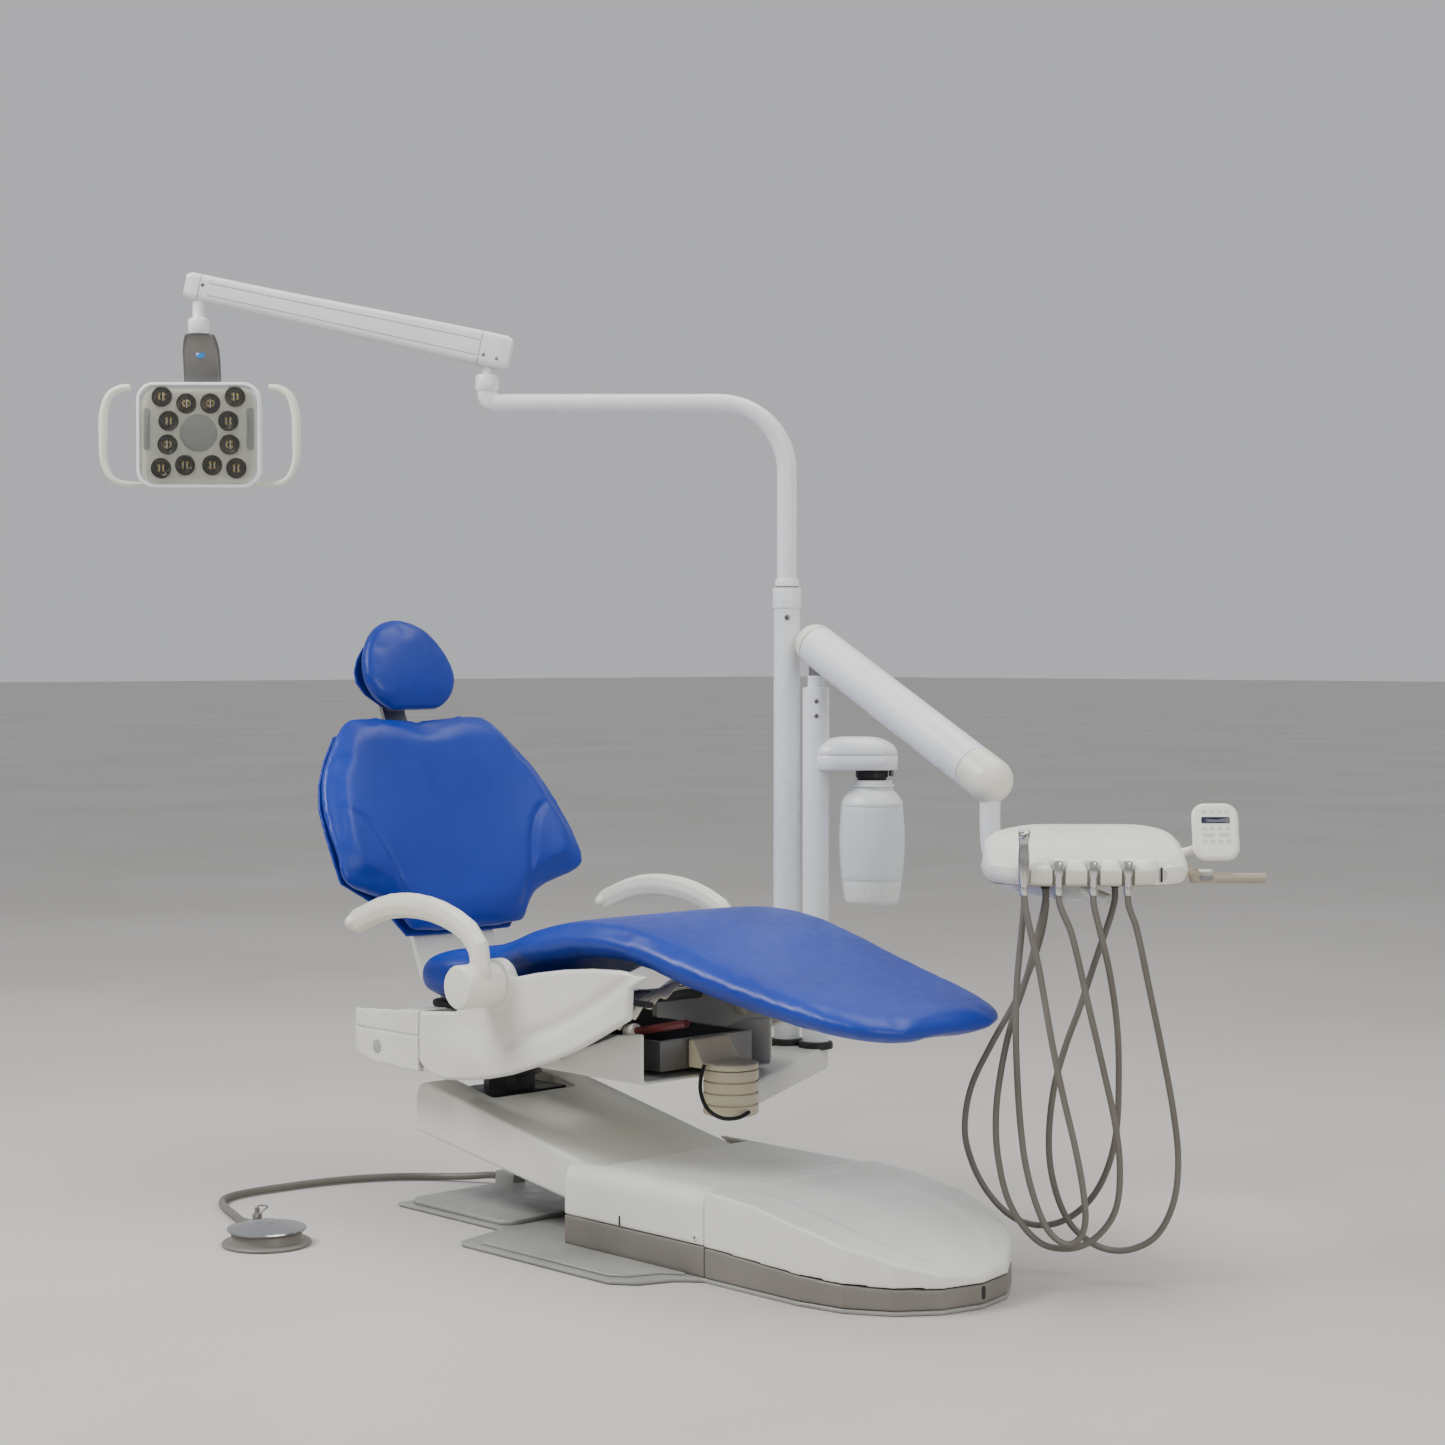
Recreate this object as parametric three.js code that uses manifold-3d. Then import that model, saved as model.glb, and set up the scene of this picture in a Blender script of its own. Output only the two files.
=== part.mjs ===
// A dental chair with its operating light and its delivery unit, as separate solids.
// Millimetres: +X points to the feet, +Y to the patient's left, +Z up.
// The origin lies on the floor under the middle of the base.
import * as THREE from "three";
import { mergeVertices } from "three/addons/utils/BufferGeometryUtils.js";
import Module from "manifold-3d";

const wasm = await Module();
wasm.setup();

// ---------------------------------------------------------------- driving dimensions
const GAP = 0.4; // between pieces that touch
const RAD = Math.PI / 180;
const CORNER_STEPS = 4; // pieces in a rounded corner
const ROUND_SIDES = 16; // sides of a round bar

const PLATE = 8; // base plate
const BASE_HALF = 205; // half width of the base's covers
const WING_HALF = 330;
const MID_X0 = -150; // middle cover, rear and front end
const MID_X1 = 210;
const TOE_X = 650; // tip of the base
const TOE_BEND = 430; // where the toe starts to round
const SKIRT_TOP = 60;
const COVER_TOP = 155;
const WALL = 5; // moulded cover

const FRONT_PIVOT = { x: -120, z: 96 }; // lift arm on the base
const REAR_PIVOT = { x: -556, z: 179 }; // lift arm under the seat
const LINK_DROP = 42; // the parallel link lies this far below the arm
const SHAFT_R = 10;
const ARM_HALF = 172; // half width of the lift arm's cover
const TONGUE_R = 50;
const ARM_SLOPE = Math.atan2(REAR_PIVOT.z - FRONT_PIVOT.z, FRONT_PIVOT.x - REAR_PIVOT.x);
const ARM_LENGTH = Math.hypot(REAR_PIVOT.z - FRONT_PIVOT.z, FRONT_PIVOT.x - REAR_PIVOT.x);

const SWIVEL_TOP = 290; // top of the swivel bearing
const SEAT_HALF = 250;
const SIDE_FACE = 258; // outer face of a side cover
const HUB = { x: -275, z: 463, r: 40, out: 345 }; // armrest hub

const BACK_PIVOT = { x: -610, z: 435 };
const BACK_ANGLE = 68; // from the horizontal

const ARM_AXIS = { x: 62.5, y: 0 }; // the arm that carries both posts turns here
const LIGHT_POST = { x: -196, y: 397, r: 25.5, z0: 300, z1: 1180 };
const TRAY_POST = { x: -129, y: 409, r: 25.5, z0: 300, z1: 988 };
const TURN = 46.4; // light, tray arm ends and control head face this way

const LIGHT_TUBE = { r: 19, z: 1533, run: 577, bend: 130 };
const BEAM = { length: 553, rise: 12.3, z: 1636, halfWidth: 29 };
const LIGHT = { width: 239, height: 203, z: 1472 };
const TILT_Z = 1548; // height of the light's tilt axis

const FLEX = { x0: -129, y0: 409, z0: 1069, x1: 402, y1: 300, z1: 832, r: 40 };
const HEAD = { x: 610, y: 300, halfWidth: 172, halfDepth: 125, z0: 676, zFront: 708, zBack: 768 };
const HOLDER_STEP = 57;
const HOSE_D = 11;
const FOOT_HOSE_D = 14;
const FOOT = { x: -542, y: -567 };

// ---------------------------------------------------------------- solids
function solid(geometry) {
  const bare = geometry.clone();
  bare.deleteAttribute("normal");
  bare.deleteAttribute("uv");
  const merged = mergeVertices(bare, 1e-3);
  const corners = merged.index.array;
  const kept = [];
  for (let i = 0; i < corners.length; i += 3) {
    const [a, b, c] = [corners[i], corners[i + 1], corners[i + 2]];
    if (a !== b && b !== c && c !== a) kept.push(a, b, c);
  }
  const mesh = new wasm.Mesh({
    numProp: 3,
    vertProperties: new Float32Array(merged.attributes.position.array),
    triVerts: new Uint32Array(kept),
  });
  return new wasm.Manifold(mesh);
}

function join(first, ...others) {
  return others.reduce((sum, other) => sum.add(other), first);
}

function cut(first, ...others) {
  return others.reduce((rest, other) => rest.subtract(other), first);
}

function geometryOf(manifold) {
  const mesh = manifold.getMesh();
  const geometry = new THREE.BufferGeometry();
  geometry.setAttribute("position", new THREE.BufferAttribute(new Float32Array(mesh.vertProperties), 3));
  geometry.setIndex(new THREE.BufferAttribute(new Uint32Array(mesh.triVerts), 1));
  geometry.computeVertexNormals();
  return geometry;
}

const box = (x0, x1, y0, y1, z0, z1) => {
  const shape = new THREE.BoxGeometry(x1 - x0, y1 - y0, z1 - z0);
  return solid(shape.translate((x0 + x1) / 2, (y0 + y1) / 2, (z0 + z1) / 2));
};

// A round bar along Z.
const barZ = (x, y, z0, z1, r, sides = ROUND_SIDES) => {
  const shape = new THREE.CylinderGeometry(r, r, z1 - z0, sides);
  return solid(shape.rotateX(Math.PI / 2).translate(x, y, (z0 + z1) / 2));
};

// A round bar along Y.
const barY = (x, z, y0, y1, r, sides = ROUND_SIDES) => {
  const shape = new THREE.CylinderGeometry(r, r, y1 - y0, sides);
  return solid(shape.translate(x, (y0 + y1) / 2, z));
};

const polygon = (points) => new THREE.Shape(points.map(([a, b]) => new THREE.Vector2(a, b)));

// An outline in the floor plane, from z0 to z1, with an optional rounded edge.
function prism(shape, z0, z1, bevel = 0, steps = 1) {
  const geometry = new THREE.ExtrudeGeometry(shape, {
    depth: z1 - z0 - 2 * bevel,
    bevelEnabled: bevel > 0,
    bevelThickness: bevel,
    bevelSize: bevel,
    bevelOffset: -bevel,
    bevelSegments: steps,
    curveSegments: CORNER_STEPS,
  });
  return solid(geometry.translate(0, 0, z0 + bevel));
}

// An outline in the X-Z plane, from y0 to y1.
function slab(shape, y0, y1, bevel = 0, steps = 1) {
  const geometry = new THREE.ExtrudeGeometry(shape, {
    depth: y1 - y0 - 2 * bevel,
    bevelEnabled: bevel > 0,
    bevelThickness: bevel,
    bevelSize: bevel,
    bevelOffset: -bevel,
    bevelSegments: steps,
    curveSegments: CORNER_STEPS,
  });
  return solid(geometry.rotateX(Math.PI / 2).translate(0, y1 - bevel, 0));
}

function roundedRect(x0, x1, y0, y1, r) {
  const shape = new THREE.Shape();
  shape.moveTo(x0 + r, y0);
  shape.lineTo(x1 - r, y0);
  shape.absarc(x1 - r, y0 + r, r, -Math.PI / 2, 0, false);
  shape.lineTo(x1, y1 - r);
  shape.absarc(x1 - r, y1 - r, r, 0, Math.PI / 2, false);
  shape.lineTo(x0 + r, y1);
  shape.absarc(x0 + r, y1 - r, r, Math.PI / 2, Math.PI, false);
  shape.lineTo(x0, y0 + r);
  shape.absarc(x0 + r, y0 + r, r, Math.PI, 1.5 * Math.PI, false);
  return shape;
}

// A turned piece: radius and height pairs, standing on Z.
function turned(profile, x, y, sides = 20) {
  const points = profile.map(([r, z]) => new THREE.Vector2(r, z));
  return solid(new THREE.LatheGeometry(points, sides).rotateX(Math.PI / 2).translate(x, y, 0));
}

const vector = ([x, y, z]) => new THREE.Vector3(x, y, z);

// A bar of one section along a smooth curve.
function sweep(points, section, steps) {
  const path = new THREE.CatmullRomCurve3(points.map(vector), false, "centripetal");
  return new THREE.ExtrudeGeometry(section, { extrudePath: path, steps, bevelEnabled: false });
}

function ring(rx, ry, sides) {
  const points = [];
  for (let i = 0; i < sides; i += 1) {
    const angle = (2 * Math.PI * i) / sides;
    points.push([rx * Math.cos(angle), ry * Math.sin(angle)]);
  }
  return polygon(points);
}

// A closed pad: place(s, t, side) gives a point, s across from -1 to 1, t along from 0 to 1.
function pad(rows, columns, place) {
  const positions = [];
  const faces = [];
  const perSide = (rows + 1) * (columns + 1);
  const at = (side, i, j) => side * perSide + i * (columns + 1) + j;
  for (const side of [1, -1]) {
    for (let i = 0; i <= rows; i += 1) {
      for (let j = 0; j <= columns; j += 1) {
        positions.push(...place((2 * j) / columns - 1, i / rows, side));
      }
    }
  }
  const quad = (a, b, c, d) => faces.push(a, b, c, a, c, d);
  for (let i = 0; i < rows; i += 1) {
    for (let j = 0; j < columns; j += 1) {
      quad(at(0, i, j), at(0, i, j + 1), at(0, i + 1, j + 1), at(0, i + 1, j));
      quad(at(1, i, j), at(1, i + 1, j), at(1, i + 1, j + 1), at(1, i, j + 1));
    }
    quad(at(0, i, 0), at(0, i + 1, 0), at(1, i + 1, 0), at(1, i, 0));
    quad(at(0, i, columns), at(1, i, columns), at(1, i + 1, columns), at(0, i + 1, columns));
  }
  for (let j = 0; j < columns; j += 1) {
    quad(at(0, 0, j), at(1, 0, j), at(1, 0, j + 1), at(0, 0, j + 1));
    quad(at(0, rows, j), at(0, rows, j + 1), at(1, rows, j + 1), at(1, rows, j));
  }
  const geometry = new THREE.BufferGeometry();
  geometry.setAttribute("position", new THREE.Float32BufferAttribute(positions, 3));
  geometry.setIndex(faces);
  const made = solid(geometry);
  if (made.volume() > 0) return made;
  geometry.setIndex(faces.reverse());
  return solid(geometry);
}

// A value read off a smooth line through [at, value] pairs.
function reading(pairs, at) {
  if (at <= pairs[0][0]) return pairs[0][1];
  const next = pairs.findIndex(([x]) => x >= at);
  if (next < 0) return pairs[pairs.length - 1][1];
  const [x0, y0] = pairs[next - 1];
  const [x1, y1] = pairs[next];
  const t = (at - x0) / (x1 - x0);
  return y0 + (y1 - y0) * t;
}

// ---------------------------------------------------------------- materials and pieces
const finish = (color, roughness, metalness = 0) => () =>
  new THREE.MeshStandardMaterial({ color, roughness, metalness });
const cream = finish(0xe3e2d8, 0.4);
const white = finish(0xeceeee, 0.35);
const grey = finish(0x7a7670, 0.55);
const steel = finish(0x9b9b98, 0.5, 0.6);
const black = finish(0x1c1c1e, 0.6);
const blue = finish(0x1f48a8, 0.45);
const chrome = finish(0x8e8f92, 0.15, 1);
const clear = finish(0xdde6ea, 0.2);
const hoseGrey = finish(0x6e6a64, 0.6);
const beige = finish(0xcbc3a8, 0.5);

const chair = new THREE.Group();

function piece(name, shape, material, parent = chair) {
  const mesh = new THREE.Mesh(geometryOf(shape), material());
  mesh.name = name;
  parent.add(mesh);
  return mesh;
}

function group(x, y, z, parent = chair) {
  const made = new THREE.Group();
  made.position.set(x, y, z);
  parent.add(made);
  return made;
}

// ---------------------------------------------------------------- base
// Plan of the toe, inset from its outer edge.
function toePlan(x0, inset) {
  const half = BASE_HALF - inset;
  const shape = new THREE.Shape();
  shape.moveTo(x0, -half);
  shape.lineTo(TOE_BEND, -half);
  shape.absellipse(TOE_BEND, 0, TOE_X - inset - TOE_BEND, half, -Math.PI / 2, Math.PI / 2, false, 0);
  shape.lineTo(x0, half);
  return shape;
}

// Side view of the toe's top, lowered by drop.
function toeSide(x0, drop) {
  const top = [
    [x0, COVER_TOP],
    [330, 146],
    [450, 125],
    [550, 98],
    [620, 70],
    [TOE_X + 10, 46],
  ];
  const points = [[x0, -20], [TOE_X + 10, -20]];
  for (const [x, z] of top.reverse()) points.push([x, z - drop]);
  return polygon(points);
}

function skirtSide(x0) {
  return polygon([[x0, -20], [TOE_X + 10, -20], [TOE_X + 10, 40], [MID_X1, SKIRT_TOP], [x0, SKIRT_TOP]]);
}

function basePlate() {
  const half = [
    [-646, 202],
    [-330, 202],
    [-301, WING_HALF - 12],
    [-285, WING_HALF],
    [110, WING_HALF],
    [150, 300],
    [172, 240],
    [210, BASE_HALF],
  ];
  const mirrored = half.map(([x, y]) => [x, -y]).reverse();
  const plate = prism(polygon([...mirrored, ...half]), 0, PLATE, 2);
  const toe = prism(toePlan(MID_X1 - 20, 0), 0, PLATE);
  const socket = box(-660, -600, 46, 76, PLATE - 1, 34);
  return join(plate, toe, socket);
}

function middleSkirt() {
  const outer = box(MID_X0, MID_X1, -BASE_HALF, BASE_HALF, PLATE + GAP, SKIRT_TOP);
  const inner = box(MID_X0 - 1, MID_X1 + 1, -BASE_HALF + 10, BASE_HALF - 10, 0, SKIRT_TOP + 1);
  const front = box(MID_X1 - 10, MID_X1, -BASE_HALF, BASE_HALF, PLATE + GAP, PLATE + 12);
  return join(cut(outer, inner), front);
}

function middleCover() {
  const top = 34; // radius of the long top edges
  const section = (inset) => {
    const half = BASE_HALF - inset;
    const shape = new THREE.Shape();
    shape.moveTo(-half, 0);
    shape.lineTo(half, 0);
    shape.lineTo(half, COVER_TOP - inset - top);
    shape.absarc(half - top, COVER_TOP - inset - top, top, 0, Math.PI / 2, false);
    shape.lineTo(-half + top, COVER_TOP - inset);
    shape.absarc(-half + top, COVER_TOP - inset - top, top, Math.PI / 2, Math.PI, false);
    return shape;
  };
  const along = (shape, x0, x1) => {
    const geometry = new THREE.ExtrudeGeometry(shape, { depth: x1 - x0, bevelEnabled: false, curveSegments: CORNER_STEPS });
    return solid(geometry.rotateX(Math.PI / 2).rotateZ(Math.PI / 2).translate(x0, 0, 0));
  };
  const outer = along(section(0), MID_X0, MID_X1 - GAP);
  const hollow = along(section(WALL), MID_X0 - 1, MID_X1 - 12);
  const below = box(MID_X0 - 1, MID_X1 + 1, -300, 300, -1, SKIRT_TOP + GAP);
  const notch = barY(FRONT_PIVOT.x, FRONT_PIVOT.z, -ARM_HALF - 5, ARM_HALF + 5, TONGUE_R + 5, 36);
  const above = box(MID_X0 - 1, FRONT_PIVOT.x + 46, -ARM_HALF - 5, ARM_HALF + 5, FRONT_PIVOT.z, 200);
  const behind = box(MID_X0 - 1, FRONT_PIVOT.x, -ARM_HALF - 5, ARM_HALF + 5, 0, 200);
  return cut(outer, hollow, below, notch, above, behind);
}

function toeCover() {
  const outer = prism(toePlan(MID_X1, 0), 0, 200).intersect(slab(toeSide(MID_X1, 0), -300, 300));
  const inner = prism(toePlan(MID_X1 - 1, WALL), 0, 200).intersect(slab(toeSide(MID_X1 - 1, WALL), -300, 300));
  const below = slab(skirtSide(MID_X1 - 1), -300, 300);
  const lift = box(0, TOE_X + 20, -300, 300, -60, -20);
  return cut(outer, inner, below, lift);
}

function toeSkirt() {
  const outer = prism(toePlan(MID_X1 + GAP, 0), PLATE + GAP, 90);
  const inner = prism(toePlan(MID_X1 - 1, 10), 0, 100);
  const rail = box(MID_X1 + GAP, MID_X1 + 12, -BASE_HALF, BASE_HALF, PLATE + GAP, PLATE + 12);
  const capped = cut(outer, inner).intersect(slab(skirtSide(0), -300, 300));
  const shave = cut(capped, box(0, TOE_X + 20, -300, 300, SKIRT_TOP - GAP, 200));
  const tilted = polygon([[0, 0], [TOE_X + 20, 0], [TOE_X + 20, 39], [MID_X1, SKIRT_TOP - GAP], [0, SKIRT_TOP - GAP]]);
  return join(shave.intersect(slab(tilted, -300, 300)), rail);
}

function pumpUnit() {
  const body = box(240, 420, -120, 20, PLATE + 2, 92);
  const motor = barY(330, 52, 20, 130, 34);
  const feet = box(230, 430, -125, 135, PLATE + GAP, PLATE + 12);
  return join(body, motor, feet, box(300, 360, 10, 120, PLATE + 2, 40));
}

function pivotFrame() {
  const floor = box(-150, 60, -140, 140, PLATE + GAP, PLATE + 14);
  const cheek = (y0, y1) => {
    const side = polygon([[-144, 10], [40, 10], [40, 26], [-84, 40], [-98, 60], [-98, 116], [-142, 116]]);
    return slab(side, y0, y1);
  };
  const high = barY(FRONT_PIVOT.x, FRONT_PIVOT.z, -138, 138, SHAFT_R);
  const low = barY(FRONT_PIVOT.x, FRONT_PIVOT.z - LINK_DROP, -138, 138, SHAFT_R);
  return join(floor, cheek(-140, -126), cheek(126, 140), high, low);
}

// ---------------------------------------------------------------- foot control
function footBase() {
  const body = turned([[0, 0], [79.5, 0], [79.5, 8], [74, 14], [0, 14]], FOOT.x, FOOT.y, 28);
  const inlet = box(FOOT.x - 105, FOOT.x - 70, FOOT.y + 30, FOOT.y + 58, 1, 24);
  const peg = barZ(FOOT.x - 84, FOOT.y + 4, 2, 46, 6, 12);
  const tab = box(FOOT.x - 92, FOOT.x - 66, FOOT.y - 6, FOOT.y + 44, 1, 10);
  return join(body, inlet, peg, tab);
}

function footDisc() {
  const edge = [[0, 22], [70, 22], [71, 26], [70, 30], [30, 40], [26, 43], [0, 43]];
  return turned(edge, FOOT.x, FOOT.y, 28);
}

const FOOT_HOSE = [
  [-661.2, 61, 20],
  [-678, 60.5, 19.5],
  [-700, 56, 17],
  [-735, 40, 12],
  [-790, 8, 8],
  [-845, -48, 8],
  [-885, -120, 8],
  [-908, -200, 8],
  [-918, -285, 8],
  [-920, -350, 8],
  [-908, -408, 8],
  [-872, -446, 8],
  [-820, -470, 8],
  [-760, -492, 8],
  [-706, -512, 9],
  [-676, -521, 12],
  [-662, -523, 12.8],
  [-648.2, -523, 13],
];

// ---------------------------------------------------------------- lift
function liftProfile(inset) {
  const shape = new THREE.Shape();
  const r = TONGUE_R - inset;
  const top = 90 * RAD + ARM_SLOPE - Math.PI;
  shape.moveTo(-628 + inset, 144);
  shape.lineTo(-181, 76);
  shape.lineTo(FRONT_PIVOT.x - 22, FRONT_PIVOT.z - r * 0.9);
  shape.absarc(FRONT_PIVOT.x, FRONT_PIVOT.z, r, -Math.PI / 2 - 0.3, top + Math.PI - ARM_SLOPE, false);
  shape.lineTo(-596, 240 - inset);
  shape.lineTo(-616 + inset, 234 - inset);
  shape.lineTo(-628 + inset, 214 - inset);
  return shape;
}

function liftCover() {
  const outer = slab(liftProfile(0), -ARM_HALF, ARM_HALF, 4);
  const inner = slab(liftProfile(WALL), -ARM_HALF + WALL, ARM_HALF - WALL);
  const open = polygon([[-620, 100], [-620, 152], [-176, 84], [-176, 20]]);
  const slot = box(-700, -478, -100, 100, 120, 300);
  const front = box(-176, 0, -146, 146, 0, FRONT_PIVOT.z);
  return cut(outer, inner, slab(open, -ARM_HALF + WALL, ARM_HALF - WALL), slot, front);
}

// A bar between the two pivots, in the arm's own frame: x runs along it from the front pivot.
function along(manifold, drop) {
  const turn = new THREE.Matrix4().makeRotationY(ARM_SLOPE);
  turn.setPosition(FRONT_PIVOT.x, 0, FRONT_PIVOT.z - drop);
  return manifold.transform(turn.elements);
}

function liftFrame() {
  const plate = (y0, y1) => slab(roundedRect(-ARM_LENGTH - 22, 22, -22, 22, 21.9), y0, y1);
  const cross = box(-250, -210, -112, 112, 8, 36);
  const bores = [0, -ARM_LENGTH].map((x) => barY(x, 0, -130, 130, SHAFT_R + 0.5, 16));
  return along(cut(join(plate(-112, -100), plate(100, 112), cross), ...bores), 0);
}

function liftLink() {
  const bar = slab(roundedRect(-ARM_LENGTH - 17, 17, -8, 8, 7.9), -60, 60);
  const eye = (x) => barY(x, 0, -60, 60, 17);
  const bores = [0, -ARM_LENGTH].map((x) => barY(x, 0, -70, 70, SHAFT_R + 0.5, 16));
  return along(cut(join(bar, eye(0), eye(-ARM_LENGTH)), ...bores), LINK_DROP);
}

function carriage() {
  const { x, z } = REAR_PIVOT;
  const cheek = (y0, y1) => box(x - 24, x + 24, y0, y1, z - LINK_DROP - 20, z + 34);
  const top = box(x - 60, x + 60, -92, 92, z + 26, z + 38);
  const post = barZ(x, 0, z + 30, z + 66, 50);
  const high = barY(x, z, -114, 114, SHAFT_R);
  const low = barY(x, z - LINK_DROP, -80, 80, SHAFT_R);
  return join(cheek(-92, -72), cheek(72, 92), top, post, high, low);
}

// ---------------------------------------------------------------- seat
function swivelBearing() {
  const foot = REAR_PIVOT.z + 66 + GAP;
  const profile = [[0, foot], [62, foot], [62, foot + 12], [56, foot + 15], [62, foot + 18]];
  profile.push([62, SWIVEL_TOP], [46, SWIVEL_TOP], [46, 320 - GAP], [0, 320 - GAP]);
  return turned(profile, REAR_PIVOT.x, 0);
}

function seatFrame() {
  const plate = box(-650, 0, -112, 112, 320, 328);
  const rail = (y0, y1) => box(-650, 0, y0, y1, 327, 372);
  const front = box(-14, 0, -112, 112, 320, 372);
  const rear = box(-560, -545, -112, 112, 320, 372);
  const hinge = box(-628, -590, -60, 60, 327, BACK_PIVOT.z - 30);
  const pin = barY(BACK_PIVOT.x, BACK_PIVOT.z, -112, 112, 9);
  const ears = [-112, 100].map((y) => box(BACK_PIVOT.x - 16, BACK_PIVOT.x + 16, y, y + 12, 360, BACK_PIVOT.z + 12));
  const hubs = barY(HUB.x, 408, -236, 236, 14);
  const posts = [-112, 100].map((y) => box(HUB.x - 20, HUB.x + 20, y, y + 12, 370, 420));
  return join(plate, rail(-112, -104), rail(104, 112), front, rear, hinge, pin, ...ears, hubs, ...posts);
}

function sideCover(sign) {
  const outline = new THREE.Shape();
  outline.moveTo(-506, 300);
  outline.quadraticCurveTo(-480, 271, -420, 273);
  outline.quadraticCurveTo(-290, 283, -190, 318);
  outline.quadraticCurveTo(-90, 350, -30, 379);
  outline.lineTo(75, 431);
  outline.lineTo(78, 483);
  outline.lineTo(118, 508);
  outline.lineTo(50, 514);
  outline.quadraticCurveTo(-90, 512, -250, 474);
  outline.quadraticCurveTo(-330, 446, -400, 400);
  outline.lineTo(-506, 391);
  const panel = slab(outline, SIDE_FACE - 20, SIDE_FACE, 5);
  const flange = slab(polygon([[-500, 280], [-420, 276], [-200, 320], [-200, 332], [-420, 290], [-500, 292]]), 170, 250);
  const boss = barY(HUB.x, HUB.z, SIDE_FACE - 18, SIDE_FACE + 4, HUB.r + 6, 20);
  const made = join(panel, flange, boss);
  return sign > 0 ? made : made.mirror([0, 1, 0]);
}

function rearCover(z0, z1, topped) {
  const side = new THREE.Shape();
  side.moveTo(-512, 276);
  side.lineTo(-660, 282);
  side.quadraticCurveTo(-735, 290, -748, 345);
  side.quadraticCurveTo(-745, 372, -716, 378);
  side.lineTo(-512, 391);
  const outer = prism(roundedRect(-750, -400, -252, 252, 60), 200, 420, 0).intersect(slab(side, -300, 300));
  const inner = prism(roundedRect(-743, -390, -246, 246, 54), 285, 386, 0);
  const band = box(-800, -512, -300, 300, z0, z1);
  let shell = cut(outer, inner).intersect(band);
  if (topped) shell = cut(shell, box(-724, -500, -140, 140, 350, 500));
  else shell = cut(shell, box(-640, -500, -130, 130, 200, 300));
  return shell;
}

function underCover() {
  const outer = prism(roundedRect(-345, 8, -160, 160, 8), 302, 400);
  const inner = box(-350, 20, -154, 154, 308, 420);
  const rear = box(-360, -300, -154, 154, 308, 420);
  const slope = slab(polygon([[-400, 300], [-345, 318], [-200, 334], [-60, 384], [60, 400], [60, 500], [-400, 500]]), -300, 300);
  return cut(outer, inner, rear, slope);
}

const SEAT_TOP = [
  [-586, 456], [-570, 484], [-520, 493], [-440, 502], [-360, 522], [-276, 546], [-150, 574], [-50, 584],
  [50, 578], [150, 558], [250, 532], [380, 500], [500, 474], [560, 462], [592, 452],
];
const SEAT_BOTTOM = [
  [-586, 410], [-570, 399], [-470, 399], [-400, 433], [-279, 484], [-134, 517], [27, 522], [183, 488],
  [359, 452], [491, 433], [560, 426], [592, 430],
];
const SEAT_WIDTH = [
  [-586, 184], [-570, 212], [-500, 224], [-420, 206], [-330, 214], [-250, 240], [-100, SEAT_HALF], [60, SEAT_HALF],
  [220, 240], [400, 218], [500, 196], [560, 160], [592, 100],
];

function seatCushion() {
  const first = SEAT_TOP[0][0];
  const last = SEAT_TOP[SEAT_TOP.length - 1][0];
  return pad(16, 4, (s, t, side) => {
    const x = first + (last - first) * t;
    const y = s * reading(SEAT_WIDTH, x);
    const middle = (reading(SEAT_TOP, x) + reading(SEAT_BOTTOM, x)) / 2;
    const edge = 1 - 0.35 * Math.abs(s) ** 5;
    const half = ((reading(SEAT_TOP, x) - reading(SEAT_BOTTOM, x)) / 2) * edge;
    return [x, y, middle + side * half];
  });
}

// Carries the posts' arm under the front of the seat frame.
function armBracket() {
  const disc = barZ(ARM_AXIS.x, ARM_AXIS.y, 322.4, 334, 49, 20);
  const rise = slab(polygon([[GAP, 322.4], [GAP, 372], [12, 372], [36, 334], [62, 334], [62, 322.4]]), -46, 46);
  return join(disc, rise);
}

const BRACKET_CABLE = [
  [52, -54, 332], [54, -64, 314], [68, -78, 288], [88, -80, 262], [106, -64, 247], [116, -34, 245], [117, -8, 252],
];

// ---------------------------------------------------------------- back
// Height along the back against half width.
const BACK_WIDTH = [
  [85, 128], [100, 150], [130, 172], [157, 198], [172, 236], [190, 288], [212, 309], [260, 309], [320, 305],
  [369, 298], [434, 274], [492, 234], [540, 196], [561, 150],
];
const BACK_BOTTOM = 85;
const BACK_TOP = 561;
const BACK_NOTCH = 24; // the top edge dips here for the headrest

// How far the sides wrap forward.
function wrap(u, y) {
  const low = Math.exp(-(((u - 215) / 150) ** 2));
  return (14 + 44 * low) * (Math.abs(y) / 310) ** 2;
}

function backCushion() {
  return pad(12, 6, (s, t, side) => {
    const u = BACK_BOTTOM + (BACK_TOP - BACK_BOTTOM) * t;
    const y = s * reading(BACK_WIDTH, u);
    const dip = BACK_NOTCH * t ** 8 * Math.exp(-((y / 90) ** 2));
    const edge = 1 - 0.3 * Math.abs(s) ** 5;
    return [-42 + wrap(u, y) + side * 28 * edge, y, u - dip];
  });
}

function backShell() {
  return pad(8, 6, (s, t, side) => {
    const u = BACK_BOTTOM + 18 + (BACK_TOP - BACK_BOTTOM - 60) * t;
    const y = s * (reading(BACK_WIDTH, u) - 24);
    return [-75 + wrap(u, y) * 0.92 + side * 3.4 - (1 - Math.abs(s) ** 4) * 2, y, u];
  });
}

function backSupport() {
  const plate = box(-96, -86, -100, 100, 20, 420);
  const arm = box(-96, -30, -96, 96, 20, 32);
  const lug = slab(roundedRect(-32, 16, -16, 32, 12), -96, 96, 0);
  const bore = barY(0, 0, -130, 130, 9.5);
  const clear = box(-40, 40, -64, 64, -60, 19);
  return cut(join(plate, arm, lug), bore, clear);
}

function headrestBar() {
  const bar = box(-112, -102, -28, 28, 330, 600);
  const lug = box(-112, -98.5, -16, 16, 586, 600);
  return join(bar, lug);
}

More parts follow.
